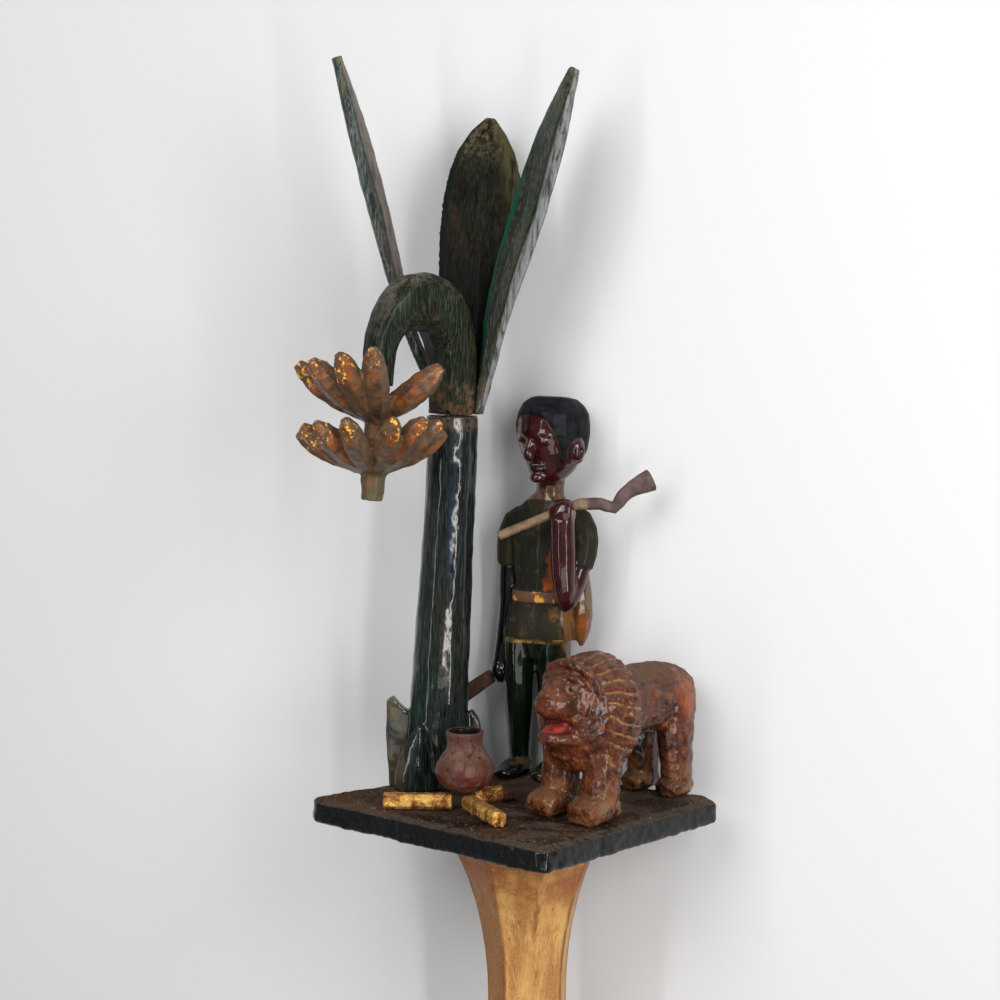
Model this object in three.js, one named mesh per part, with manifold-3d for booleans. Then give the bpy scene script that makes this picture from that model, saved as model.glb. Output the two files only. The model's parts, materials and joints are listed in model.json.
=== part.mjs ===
// Linguist staff: an octagonal gilded shaft that carries a carved and painted group on a slab.
// On the slab stand a plantain tree with its fruit, a hunter with a gun and a long knife,
// a lion, and a cooking pot on three firewood logs.
// The staff is drawn upright, x to the right, y to the back and z up, with z = 0 on the slab.
// At the end it is laid on its back on the floor, as a staff that nobody holds.

import * as THREE from 'three';
import { mergeVertices } from 'three/addons/utils/BufferGeometryUtils.js';
import Module from 'manifold-3d';

const wasm = await Module();
wasm.setup();

// Driving dimensions in millimetres

const clearance = 0.3;            // gap between pieces that touch
const carvingStep = 0.2;          // unevenness of the carving that a flat facet may pass over
const figureStep = 0.4;           // the same for the larger forms of the hunter and the lion

const staffHeight = 1650;         // foot of the shaft to the tip of the highest leaf
const shaftCorner = 18.5;         // corner radius of the octagonal shaft below its flare
const shaftFootCorner = 17;       // corner radius at the foot
const shaftFlareCorner = 39;      // corner radius under the slab
const shaftFlareLength = 78;      // height over which the shaft widens
const shaftTurn = -12.5;          // degrees that the front facet is turned from straight ahead

const slabThick = 12;
const slabBevelWide = 5;          // worn slope round the upper edge
const slabBevelDrop = 2.5;
const slabUnderCut = 1.2;         // small slope round the lower edge
const slabCorners = [             // middle of each cut corner of the slab, and the width of the cut
  { at: [5.5, -76], cut: 5 },
  { at: [87, 9], cut: 9 },
  { at: [-11, 67.5], cut: 14 },
  { at: [-99.4, 11], cut: 8 },
];

const trunkFoot = [-43, 31];      // middle of the trunk on the slab
const trunkTop = [-34.8, 31];     // middle of the trunk at its top
const trunkHeight = 176;
const trunkFootRadius = 13.6;
const trunkTopRadius = 11.8;

const stalkSwing = 40;            // degrees that the fruit hangs forward of straight left
const stalkReach = 43;            // from the trunk's middle to the fruit's middle
const stalkRise = 53;             // top of the stalk's middle line over the trunk
const stalkDrop = 31;             // from there down to the fruit
const stalkSocket = 7;            // how far its end reaches down between the upper fruits
const stalkThick = 15.6;
const stalkWide = 23.5;

const leafThick = 5.6;
const leafRise = 165;             // from the trunk's top to the tip of the highest leaf
const leafRootSpread = 8;         // leaf roots behind the stalk and beside each other

const bunchLength = 59;           // top of the fruit's stem to its cut end
const bunchStemRadius = 6.4;
const fingerReach = 34;
const fingerRadius = 5.4;

const hunterHeight = 184.5;
const hunterPlace = [4.8, 50];
const hunterTurn = -20;           // degrees, he faces a little to the left

const barrelRadius = 2.2;
const gunLength = 73;             // muzzle to butt, measured level
const gunPlace = [-13.3, 26, 119.7];

const knifeLength = 38;
const knifeWide = 7.4;
const knifeThick = 3.2;

const lionHeight = 74;
const lionPlace = [12.3, -36.6];  // below the middle of the front paws
const lionTurn = 47.8;            // degrees from the x axis to the line of its back

const potHeight = 29;
const potBelly = 13.9;            // outer radius at the belly
const potNeck = 8;
const potRim = 8.9;
const potWall = 1.7;
const hearth = [-28.5, -11.5];    // middle of the pot and of the fire

const logSize = 7.4;              // thickness of a firewood log
const logInner = 5.6;             // from the middle of the fire to the end of each log

// Carving helpers

const degrees = Math.PI / 180;

const polar = (radius, angle) => [radius * Math.cos(angle * degrees), radius * Math.sin(angle * degrees)];

const mix = (a, b, share) => a + (b - a) * share;

function solidOf(geometry) {
  const bare = geometry.clone();
  bare.deleteAttribute('normal');
  bare.deleteAttribute('uv');
  const merged = mergeVertices(bare, 1e-4);
  return new wasm.Manifold(new wasm.Mesh({
    numProp: 3,
    vertProperties: new Float32Array(merged.attributes.position.array),
    triVerts: new Uint32Array(merged.index.array),
  }));
}

function geometryOf(solid) {
  const mesh = solid.getMesh();
  const geometry = new THREE.BufferGeometry();
  geometry.setAttribute('position', new THREE.BufferAttribute(new Float32Array(mesh.vertProperties), 3));
  geometry.setIndex(new THREE.BufferAttribute(new Uint32Array(mesh.triVerts), 1));
  const flat = geometry.toNonIndexed();
  flat.computeVertexNormals();
  return flat;
}

const joined = (solids) => solids.reduce((whole, next) => whole.add(next));

const carvedOut = (solid, cutters) => cutters.reduce((rest, cutter) => rest.subtract(cutter), solid);

// One carved length. Each station is [x, y, z, half width, half depth], and the rows of a
// cylinder follow a smooth line through them. across is the direction of the width,
// squareness 2 gives a round section and more a squarer one, and dome rounds the two ends.
function limb(stations, options = {}) {
  const { across = [1, 0, 0], sides = 10, rows = 6, squareness = 2, turn = 0, dome = [0, 0] } = options;
  const smooth = (points) => new THREE.CatmullRomCurve3(points, false, 'catmullrom', 0.5);
  const line = smooth(stations.map((s) => new THREE.Vector3(s[0], s[1], s[2])));
  const size = smooth(stations.map((s) => new THREE.Vector3(s[3], s[4], 0)));
  const ring = [];
  const ringAt = (share, scale, push) => {
    const middle = line.getPoint(share);
    const along = line.getTangent(share);
    const acrossWay = new THREE.Vector3(...across);
    const widthWay = acrossWay.clone().addScaledVector(along, -along.dot(acrossWay));
    widthWay.normalize();
    const depthWay = new THREE.Vector3().crossVectors(widthWay, along);
    const half = size.getPoint(share);
    ring.push({ middle: middle.addScaledVector(along, push), along, widthWay, depthWay, half, scale });
  };
  const domeScale = 0.66;
  const domePush = 0.72;
  if (dome[0]) ringAt(0, domeScale, -domePush * dome[0]);
  for (let row = 0; row <= rows; row += 1) {
    const share = row / rows;
    const startInset = row === 0 && dome[0] ? 0.95 : 1;
    const endInset = row === rows && dome[1] ? 0.95 : 1;
    ringAt(share, startInset * endInset, 0);
  }
  if (dome[1]) ringAt(1, domeScale, domePush * dome[1]);
  const geometry = new THREE.CylinderGeometry(1, 1, 1, sides, ring.length - 1);
  const spot = geometry.attributes.position;
  const bow = (value) => Math.sign(value) * Math.abs(value) ** (2 / squareness);
  for (let i = 0; i < spot.count; i += 1) {
    const level = spot.getY(i) + 0.5;
    const one = ring[Math.round(level * (ring.length - 1))];
    const reach = Math.hypot(spot.getX(i), spot.getZ(i));
    const angle = Math.atan2(spot.getX(i), spot.getZ(i)) + turn * degrees;
    const place = one.middle.clone();
    if (reach > 0.5) {
      place.addScaledVector(one.widthWay, bow(Math.sin(angle)) * one.half.x * one.scale);
      place.addScaledVector(one.depthWay, bow(Math.cos(angle)) * one.half.y * one.scale);
    } else {
      const tip = level > 0.5 ? dome[1] : -dome[0];
      place.addScaledVector(one.along, tip * (1 - domePush));
    }
    spot.setXYZ(i, place.x, place.y, place.z);
  }
  return solidOf(geometry);
}

function ball(middle, radii, sides = 12, turn = 0) {
  const geometry = new THREE.SphereGeometry(1, sides, Math.round(sides * 0.6));
  geometry.scale(radii[0], radii[1], radii[2]);
  geometry.rotateZ(turn * degrees);
  geometry.translate(middle[0], middle[1], middle[2]);
  return solidOf(geometry);
}

function block(middle, sizes, turn = 0) {
  const geometry = new THREE.BoxGeometry(sizes[0], sizes[1], sizes[2]);
  geometry.rotateZ(turn * degrees);
  geometry.translate(middle[0], middle[1], middle[2]);
  return solidOf(geometry);
}

// Everything above or below a level, as a cutter
const above = (level) => block([0, 0, level + 1000], [4000, 4000, 2000]);
const below = (level) => block([0, 0, level - 1000], [4000, 4000, 2000]);

// A figure's facets made fewer before its neighbours are cut out of it
const coarser = (solid) => solid.asOriginal().simplify(figureStep).subtract(below(clearance));

const pieces = [];

function addPiece(name, solid, finish) {
  const geometry = geometryOf(solid.asOriginal().simplify(carvingStep));
  const mesh = new THREE.Mesh(geometry, new THREE.MeshStandardMaterial(finish));
  mesh.name = name;
  pieces.push(mesh);
}

const finishes = {
  gilt: { color: 0xa87434, roughness: 0.5, metalness: 0.6 },
  goldLeaf: { color: 0xd9a436, roughness: 0.35, metalness: 0.8 },
  slabPaint: { color: 0x3b3a33, roughness: 0.6, metalness: 0 },
  treePaint: { color: 0x22352f, roughness: 0.35, metalness: 0 },
  fruitPaint: { color: 0x9a5a2c, roughness: 0.4, metalness: 0.2 },
  hunterPaint: { color: 0x2f2a22, roughness: 0.3, metalness: 0 },
  gunPaint: { color: 0x6b4d3f, roughness: 0.5, metalness: 0 },
  knifePaint: { color: 0x35241e, roughness: 0.5, metalness: 0 },
  lionPaint: { color: 0x8a4422, roughness: 0.35, metalness: 0.1 },
  potPaint: { color: 0x7d5347, roughness: 0.6, metalness: 0 },
};

// The slab: an uneven four-sided board with its corners cut off

function slabOutline() {
  const outline = [];
  const count = slabCorners.length;
  slabCorners.forEach((corner, i) => {
    const before = new THREE.Vector2(...slabCorners[(i + count - 1) % count].at);
    const after = new THREE.Vector2(...slabCorners[(i + 1) % count].at);
    const cutWay = after.sub(before).normalize();
    for (const side of [-1, 1]) {
      outline.push(new THREE.Vector2(...corner.at).addScaledVector(cutWay, side * corner.cut / 2));
    }
  });
  return outline;
}

function inset(outline, distance) {
  const count = outline.length;
  return outline.map((point, i) => {
    const inWay = outline[(i + count - 1) % count].clone().sub(point).normalize();
    const outWay = outline[(i + 1) % count].clone().sub(point).normalize();
    const half = Math.acos(inWay.dot(outWay)) / 2;
    return point.clone().addScaledVector(inWay.add(outWay).normalize(), distance / Math.sin(half));
  });
}

// Levels from the underside up, each with how far the outline is drawn in
function slab() {
  const outline = slabOutline();
  const levels = [
    [-slabThick, slabUnderCut],
    [-slabThick + slabUnderCut, 0],
    [-slabBevelDrop, 0],
    [0, slabBevelWide],
  ];
  const geometry = new THREE.CylinderGeometry(1, 1, 1, outline.length, levels.length - 1);
  const spot = geometry.attributes.position;
  const middle = new THREE.Vector2(0, 0);
  for (let i = 0; i < spot.count; i += 1) {
    const [level, drawnIn] = levels[Math.round((spot.getY(i) + 0.5) * (levels.length - 1))];
    const angle = Math.atan2(spot.getX(i), spot.getZ(i)) / (2 * Math.PI);
    const corner = Math.round(angle * outline.length + outline.length) % outline.length;
    const reach = Math.hypot(spot.getX(i), spot.getZ(i)) > 0.5;
    const place = reach ? inset(outline, drawnIn)[corner] : middle;
    spot.setXYZ(i, place.x, place.y, level);
  }
  return solidOf(geometry);
}

// The shaft: eight flat sides that sweep out under the slab

function shaft(footLevel) {
  const topLevel = -slabThick - clearance;
  const flareFoot = topLevel - shaftFlareLength;
  const flareRows = 7;
  const stations = [[footLevel, shaftFootCorner], [flareFoot, shaftCorner]];
  for (let row = 1; row <= flareRows; row += 1) {
    const share = row / flareRows;
    const widening = (shaftFlareCorner - shaftCorner) * (0.85 * share ** 2 + 0.15 * share ** 6);
    stations.push([mix(flareFoot, topLevel, share), shaftCorner + widening]);
  }
  const geometry = new THREE.CylinderGeometry(1, 1, 1, 8, stations.length - 1);
  geometry.rotateX(90 * degrees);
  geometry.rotateZ((shaftTurn + 22.5) * degrees);
  const spot = geometry.attributes.position;
  for (let i = 0; i < spot.count; i += 1) {
    const [level, corner] = stations[Math.round((spot.getZ(i) + 0.5) * (stations.length - 1))];
    spot.setXYZ(i, spot.getX(i) * corner, spot.getY(i) * corner, level);
  }
  return solidOf(geometry);
}

// The plantain tree: trunk, stalk, three leaves and the bunch of fruit

// A cut leaf base at the trunk's foot: a flat upright blade, drawn as an outline of [x, z]
// points measured from the trunk's middle, with its middle plane at a distance in front of it
function leafBase(outline, forward, thick) {
  const shape = new THREE.Shape(outline.map(([x, z]) => new THREE.Vector2(x, z)));
  const geometry = new THREE.ExtrudeGeometry(shape, { depth: thick, bevelEnabled: false });
  geometry.rotateX(90 * degrees);
  geometry.translate(trunkFoot[0], trunkFoot[1] - forward + thick / 2, 0);
  return solidOf(geometry);
}

function trunk() {
  const stem = limb([
    [trunkFoot[0], trunkFoot[1], clearance, trunkFootRadius * 1.22, trunkFootRadius * 1.02],
    [mix(trunkFoot[0], trunkTop[0], 0.1), trunkFoot[1], trunkHeight * 0.12,
      trunkFootRadius * 1.03, trunkFootRadius * 0.95],
    [mix(trunkFoot[0], trunkTop[0], 0.32), trunkFoot[1], trunkHeight * 0.35,
      trunkFootRadius * 0.98, trunkFootRadius * 0.92],
    [mix(trunkFoot[0], trunkTop[0], 0.65), trunkTop[1], trunkHeight * 0.6,
      trunkTopRadius * 1.04, trunkTopRadius * 0.98],
    [mix(trunkFoot[0], trunkTop[0], 0.95), trunkTop[1], trunkHeight * 0.85,
      trunkTopRadius, trunkTopRadius * 0.98],
    [trunkTop[0], trunkTop[1], trunkHeight, trunkTopRadius * 1.03, trunkTopRadius * 1.02],
  ], { sides: 16, rows: 10, squareness: 2.15 });
  const left = leafBase([[-4, -1], [-4, 30], [-14, 37], [-20, 43], [-23, 41.5], [-23.4, 28], [-22, -1]],
    1, 7.5);
  const front = limb([
    [trunkFoot[0] - 8.5, trunkFoot[1] - 11.5, -2, 11, 6],
    [trunkFoot[0] - 8.5, trunkFoot[1] - 12, 8, 10.6, 5.6],
    [trunkFoot[0] - 8, trunkFoot[1] - 12.6, 20, 8, 4.8],
    [trunkFoot[0] - 7, trunkFoot[1] - 13.4, 31.5, 1.6, 2],
  ], { sides: 8, rows: 5, squareness: 1.6 });
  const right = leafBase([[4, -1], [21.4, -1], [21.6, 26], [20.6, 32], [17, 36.5], [11, 28], [4, 26]], -1, 7);
  const whole = joined([stem, left, front, right]);
  return whole.subtract(below(clearance)).subtract(above(trunkHeight));
}

const stalkWay = [-Math.cos(stalkSwing * degrees), -Math.sin(stalkSwing * degrees)];
const stalkSide = [-stalkWay[1], stalkWay[0]];
const beside = (along, side) => [
  trunkTop[0] + stalkWay[0] * along + stalkSide[0] * side,
  trunkTop[1] + stalkWay[1] * along + stalkSide[1] * side,
];
const stalkTopLevel = trunkHeight + stalkRise;
const bunchTopLevel = stalkTopLevel - stalkDrop;

// grow makes the same shape a little larger, as the cutter for what touches it
function stalk(grow) {
  const rootLevel = trunkHeight + clearance;
  const shape = [
    [0.02, rootLevel, 0.52, 0.48],
    [0.0, mix(rootLevel, stalkTopLevel, 0.3), 0.57, 0.5],
    [0.03, mix(rootLevel, stalkTopLevel, 0.62), 0.62, 0.52],
    [0.16, mix(rootLevel, stalkTopLevel, 0.88), 0.76, 0.53],
    [0.42, stalkTopLevel, 0.86, 0.5],
    [0.67, mix(stalkTopLevel, bunchTopLevel, 0.08), 0.68, 0.42],
    [0.87, mix(stalkTopLevel, bunchTopLevel, 0.36), 0.52, 0.34],
    [0.97, mix(stalkTopLevel, bunchTopLevel, 0.7), 0.44, 0.29],
    [1, bunchTopLevel - stalkSocket, 0.4, 0.26],
  ];
  const stations = shape.map(([along, level, thick, wide]) => [
    ...beside(along * stalkReach, 0), level, wide * stalkWide + grow, thick * stalkThick + grow,
  ]);
  const arch = limb(stations, { across: [...stalkSide, 0], sides: 12, rows: 18, squareness: 3.2 });
  return arch.subtract(below(rootLevel - grow));
}

// A leaf: a thin blade with a raised rib on both faces, narrow at its root and pointed.
// Each station is the place of the rib and the half width of the blade there.
// grow makes the same shape a little larger, as the cutter for the leaf beside it
function leaf(stations, across, grow) {
  const blade = limb(stations.map(([x, y, z, wide]) => [x, y, z, wide + grow, leafThick / 2 + grow]), {
    across, sides: 8, rows: 10, squareness: 3,
  });
  const rib = limb(stations.slice(0, -1).map(([x, y, z], i) => [
    x, y, z, 1.6 - i * 0.2 + grow, leafThick * 0.64 + grow,
  ]), { across, sides: 6, rows: 6 });
  return joined([blade, rib]).subtract(below(trunkHeight + clearance)).subtract(stalk(clearance));
}

function leftLeaf(grow) {
  const root = beside(-leafRootSpread, -leafRootSpread * 1.25);
  return leaf([
    [root[0], root[1], trunkHeight, 2.6],
    [root[0] - 12, root[1] + 1, trunkHeight + 20, 3],
    [root[0] - 20.8, root[1], trunkHeight + 42, 4.6],
    [root[0] - 28, root[1] - 1, trunkHeight + 70, 9.5],
    [root[0] - 36.2, root[1] - 2, trunkHeight + 103, 12.5],
    [root[0] - 45, root[1] - 3, trunkHeight + 137, 10],
    [root[0] - 53, root[1] - 4, staffTipLevel, 0.8],
  ], [0.27, 0.96, 0], grow);
}

function backLeaf(grow) {
  const root = beside(-leafRootSpread * 1.02, 0);
  return leaf([
    [root[0], root[1], trunkHeight, 2.8],
    [root[0] + 2, root[1] + 4, trunkHeight + 25, 8],
    [root[0] + 4, root[1] + 9, trunkHeight + 52, 16.5],
    [root[0] + 6, root[1] + 14, trunkHeight + 82, 19],
    [root[0] + 8.5, root[1] + 19, trunkHeight + 108, 18],
    [root[0] + 10, root[1] + 23, trunkHeight + 126, 12.4],
    [root[0] + 11.5, root[1] + 26, trunkHeight + 138.5, 2.6],
  ], [1, 0, 0], grow).subtract(leftLeaf(clearance)).subtract(rightLeaf(clearance));
}

function rightLeaf(grow) {
  const root = beside(-leafRootSpread, leafRootSpread * 1.05);
  return leaf([
    [root[0], root[1], trunkHeight, 2.8],
    [root[0] + 5.5, root[1], trunkHeight + 24, 5.5],
    [root[0] + 9.2, root[1] + 1, trunkHeight + 46, 11.4],
    [root[0] + 16.9, root[1] + 1, trunkHeight + 72, 16.2],
    [root[0] + 26.5, root[1] + 1, trunkHeight + 103, 17.8],
    [root[0] + 36.5, root[1] + 1, trunkHeight + 135, 13],
    [root[0] + 45, root[1] + 1, trunkHeight + 159, 0.5],
  ], [0.45, -0.89, 0], grow);
}

// One fruit: narrow where it leaves the stem, full in the middle and bluntly pointed
function fruit(stem, angle, reach, rootLevel, tipLevel, radius) {
  const at = (share, level, size) => {
    const [x, y] = polar(reach * share, angle);
    return [stem[0] + x, stem[1] + y, level, radius * size, radius * size * 1.05];
  };
  return limb([
    at(0.06, rootLevel - 2, 0.7),
    at(0.3, mix(rootLevel, tipLevel, 0.16), 1.08),
    at(0.62, mix(rootLevel, tipLevel, 0.48), 1.22),
    at(0.86, mix(rootLevel, tipLevel, 0.8), 0.98),
    at(1, tipLevel, 0.44),
  ], { across: [...polar(1, angle + 90), 0], sides: 6, rows: 5, turn: 30 });
}

function bunch() {
  const stemTop = beside(stalkReach, 0);
  const lowEnd = bunchTopLevel - bunchLength;
  const stem = limb([
    [stemTop[0], stemTop[1], bunchTopLevel, bunchStemRadius * 0.62, bunchStemRadius * 0.62],
    [stemTop[0] - 0.5, stemTop[1], mix(bunchTopLevel, lowEnd, 0.25), bunchStemRadius, bunchStemRadius],
    [stemTop[0] - 1, stemTop[1], mix(bunchTopLevel, lowEnd, 0.42),
      bunchStemRadius * 0.8, bunchStemRadius * 0.8],
    [stemTop[0] - 2, stemTop[1], mix(bunchTopLevel, lowEnd, 0.7), bunchStemRadius, bunchStemRadius],
    [stemTop[0] - 3, stemTop[1], lowEnd, bunchStemRadius * 0.8, bunchStemRadius * 0.8],
  ], { sides: 8, rows: 8, turn: 22.5 });
  const upperRoot = bunchTopLevel - 19;
  const lowerRoot = bunchTopLevel - 43;
  const upper = [[188, 1.05, 3], [213, 0.98, 5], [245, 1, 8], [271, 0.9, 10.5], [343, 0.9, 2]];
  const lower = [[185, 1, -28], [203, 1, -24.5], [225, 1, -22.5], [252, 1, -20.5],
    [289, 1, -20.5], [314, 1, -20.5], [337, 0.97, -22.5], [358, 0.95, -28]];
  // The cup of wood from which a ring of fruits grows
  const cup = (x, level, wide) => limb([
    [x, stemTop[1], level - 5, bunchStemRadius * 0.9, bunchStemRadius * 0.9],
    [x, stemTop[1], level + 1, wide * 0.72, wide * 0.72],
    [x, stemTop[1], level + 8, wide, wide],
  ], { sides: 10, rows: 3 });
  const fruits = [
    ...upper.map(([angle, reach, tip]) => fruit(
      [stemTop[0] - 0.5, stemTop[1]], angle, fingerReach * reach, upperRoot, bunchTopLevel + tip,
      fingerRadius)),
    ...lower.map(([angle, reach, tip]) => fruit(
      [stemTop[0] - 2, stemTop[1]], angle, fingerReach * reach, lowerRoot, bunchTopLevel + tip,
      fingerRadius * 0.92)),
  ];
  const cups = [
    cup(stemTop[0] - 0.5, upperRoot, fingerReach * 0.38),
    cup(stemTop[0] - 2, lowerRoot, fingerReach * 0.42),
  ];
  return joined([stem, ...cups, ...fruits]).subtract(stalk(clearance));
}

// The hunter is drawn 184.5 high, facing forward from between his feet, then scaled and turned

const hunterScale = hunterHeight / 184.5;
const fistMiddle = [19, -17.5, 130.5];
const knifeFist = [-17.3, -3, 51];
const headMiddle = [7.6, 1];
const headTurn = -22;             // degrees, turned further to the left than his body

function hunterHead() {
  const middle = headMiddle;
  const head = (grow) => limb([
    [middle[0], middle[1] - 6.5, 143.5, 5.5 + grow, 4.6 + grow],
    [middle[0], middle[1] - 4.5, 147.5, 9.4 + grow, 9 + grow],
    [middle[0], middle[1] - 1.8, 153.5, 12.6 + grow, 13.6 + grow],
    [middle[0], middle[1], 160.5, 14.6 + grow, 16.6 + grow],
    [middle[0], middle[1] + 0.5, 168.5, 15.4 + grow, 17.4 + grow],
    [middle[0], middle[1] + 1, 177, 14.2 + grow, 16 + grow],
    [middle[0], middle[1] + 1.5, 182.4, 10 + grow, 11 + grow],
  ], { sides: 16, rows: 10, squareness: 2.2, dome: [1, 1.2] });
  const faceWay = [middle[0], middle[1] - 12];
  const faceOpening = limb([
    [faceWay[0], faceWay[1] + 10, 158.6, 12.2, 17.2],
    [faceWay[0], faceWay[1] - 20, 158.6, 13.2, 17.6],
  ], { sides: 16, rows: 1, squareness: 3 });
  const napeLevel = 152;
  const hair = head(1).subtract(faceOpening).subtract(below(napeLevel));
  const features = [];
  const faceFront = middle[1] - 16.6;
  for (const side of [-1, 1]) {
    const ear = ball([middle[0] + side * 15.4, middle[1] + 1.5, 158], [2.4, 3.4, 5], 10);
    features.push(ear.subtract(ball([middle[0] + side * 18, middle[1] + 0.4, 158.4], [1.9, 1.9, 3], 8)));
    features.push(ball([middle[0] + side * 5.9, faceFront + 1.9, 163], [3, 1.9, 1.5], 10));
    features.push(limb([
      [middle[0] + side * 2.6, faceFront + 0.3, 166.2, 0.9, 0.9],
      [middle[0] + side * 6.4, faceFront + 1, 167.2, 0.9, 0.9],
      [middle[0] + side * 10, faceFront + 3.4, 165.8, 0.7, 0.8],
    ], { across: [0, 0, 1], sides: 6, rows: 3 }));
  }
  const nose = limb([
    [middle[0], faceFront + 1.4, 165, 1.5, 1.4],
    [middle[0], faceFront + 0.2, 160, 1.9, 2],
    [middle[0], faceFront - 1.2, 156.2, 3.1, 2.5],
    [middle[0], faceFront + 0.6, 154.6, 2.6, 1.6],
  ], { sides: 8, rows: 5 });
  const lipLevel = 150.8;
  const lip = (level, drop) => limb([
    [middle[0] - 4.6, faceFront + drop + 2.6, level, 0.7, 0.8],
    [middle[0], faceFront + drop, level, 1.3, 1.2],
    [middle[0] + 4.6, faceFront + drop + 2.6, level, 0.7, 0.8],
  ], { across: [0, 0, 1], sides: 6, rows: 4 });
  const chin = ball([middle[0], faceFront + 6, 145.6], [4.2, 4, 2.9], 10);
  const sockets = [-1, 1].map((side) => ball(
    [middle[0] + side * 5.9, faceFront - 0.9, 163.4], [3.6, 2.4, 2.4], 10));
  const skull = carvedOut(head(0), sockets);
  return joined([skull, hair, ...features, nose, lip(lipLevel + 1, 1.6), lip(lipLevel - 1.1, 2.3), chin]);
}

function hunter() {
  const round = { sides: 10, rows: 6 };
  const neck = limb([[7, 2.5, 150, 7, 7], [6.2, 2, 136, 6.7, 6.9], [5.6, 1.5, 126, 8, 7.5]],
    { ...round, rows: 3 });
  const chest = limb([
    [3.6, 0, 82, 15, 10.4],
    [4.4, 0, 93, 14.8, 9.9],
    [4.8, 0, 105, 16.4, 10.4],
    [5.2, 0.6, 116, 18, 10.6],
    [5.3, 1, 125, 17.4, 9.6],
    [5.5, 1.3, 131.6, 12.8, 7.8],
    [5.6, 1.6, 137, 6.9, 6.6],
  ], { sides: 14, rows: 9, squareness: 2.4 });
  const skirt = limb([
    [2.8, 0, 68, 17.8, 12.8],
    [3, 0, 74, 17.7, 12.6],
    [3.6, 0, 81, 16.9, 11.6],
    [4.1, 0, 87, 15.4, 10.5],
  ], { sides: 16, rows: 4, squareness: 2.3 });
  const belt = limb([[4.1, 0, 86.6, 16.3, 11.3], [4.3, 0, 91, 15.9, 11]],
    { sides: 16, rows: 1, squareness: 2.3 });
  const hips = limb([[1, 0, 58, 10, 8], [2.7, 0, 72, 15, 11]], { sides: 14, rows: 2, squareness: 2.4 });
  const leg = (x, lean) => limb([
    [x + lean, 0, 72, 8.4, 10],
    [x + lean * 0.9, 0, 58, 8.4, 9.8],
    [x + lean * 0.6, 0, 46, 8.1, 9],
    [x + lean * 0.3, 0.4, 33, 7.2, 7.8],
    [x, 1, 20, 5.9, 6.6],
    [x, 1.4, 9, 5.2, 5.8],
    [x, 1.4, 2, 5.6, 6.4],
  ], { sides: 10, rows: 8 });
  const foot = (x, turn) => {
    const [toeX, toeY] = polar(15, -90 + turn);
    return limb([
      [x - toeX * 0.4, 1.4 - toeY * 0.4, 4, 5, 4.4],
      [x + toeX * 0.1, 1 + toeY * 0.1, 4.6, 5.6, 5],
      [x + toeX * 0.6, 1 + toeY * 0.6, 3.4, 6, 3.8],
      [x + toeX, 1 + toeY, 2.2, 5, 2.6],
    ], { across: [...polar(1, turn), 0], sides: 10, rows: 4, dome: [1.5, 1.5] });
  };
  const sleeve = (stations) => limb(stations, { ...round, rows: 6 });
  const rightSleeve = sleeve([
    [-4, 1.4, 128.4, 4, 6],
    [-10.4, 1.4, 123.4, 6.4, 6.8],
    [-13.3, 1.5, 114, 6.8, 7],
    [-13.9, 1.2, 103, 6.3, 6.6],
  ]);
  const rightArm = limb([
    [-13.9, 1.2, 110, 5.4, 5.6],
    [-13.9, 0.6, 92, 5, 5.2],
    [-14.6, -1, 75, 4.4, 4.6],
    [-16.4, -2.4, 62, 3.8, 3.9],
    [knifeFist[0], knifeFist[1], knifeFist[2], 4.6, 5],
  ], { ...round, rows: 7, dome: [0, 4.4] });
  const rightFist = ball(knifeFist, [5, 6, 6.6], 10);
  const leftSleeve = sleeve([
    [14, 1, 130, 4.4, 6],
    [21, 0.6, 125, 6.6, 7],
    [24.6, -1.6, 114.5, 6.9, 7],
    [23.8, -5.8, 103, 6.2, 6.4],
  ]);
  const leftUpper = limb([
    [24.4, -2.4, 110, 5.3, 5.4],
    [22.8, -9, 96, 5, 5.2],
    [20.6, -14.6, 87, 4.4, 4.6],
  ], { ...round, rows: 4, dome: [0, 3] });
  const leftFore = limb([
    [20.2, -15.4, 83.6, 1.8, 2.4],
    [19.8, -16, 92, 5, 5.2],
    [19.2, -16.6, 105, 6.2, 6],
    [18.9, -17, 117, 6, 5.8],
    [fistMiddle[0], fistMiddle[1], 127, 5.9, 5.6],
  ], { ...round, rows: 7 });
  const leftFist = limb([
    [fistMiddle[0] - 5, fistMiddle[1], fistMiddle[2] - 1.4, 5.6, 5],
    [fistMiddle[0], fistMiddle[1], fistMiddle[2] + 0.2, 6.6, 5.8],
    [fistMiddle[0] + 5, fistMiddle[1], fistMiddle[2] + 0.8, 5.6, 5],
  ], { across: [0, 0, 1], sides: 10, rows: 3, dome: [0.8, 0.8] });
  const bag = limb([
    [22.4, 1.5, 104, 3, 4.5],
    [22.9, 1, 92, 4.2, 7],
    [23.5, 0.5, 80, 4.6, 7.6],
    [23.2, 0, 71, 3.6, 5.2],
    [22.8, -0.4, 64.4, 1, 1.6],
  ], { sides: 8, rows: 6 });
  const coatFold = limb([[-14, -12.6, 66, 0.8, 0.8], [-12, -10.6, 84, 0.5, 0.5]], { sides: 4, rows: 1 });
  const body = joined([neck, chest, skirt, belt, hips, leg(-8.6, 0.6), leg(8.9, 0),
    foot(-8.6, -18), foot(8.9, -12),
    rightSleeve, rightArm, rightFist, leftSleeve, leftUpper, leftFore, leftFist, bag]);
  const head = hunterHead()
    .translate([-headMiddle[0], -headMiddle[1], 0])
    .rotate([0, 0, headTurn])
    .translate([headMiddle[0], headMiddle[1], 0]);
  return body.subtract(coatFold).add(head);
}

function placedHunter(solid) {
  return solid.scale([hunterScale, hunterScale, hunterScale])
    .rotate([0, 0, hunterTurn])
    .translate([hunterPlace[0], hunterPlace[1], clearance])
    .subtract(below(clearance));
}

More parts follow.
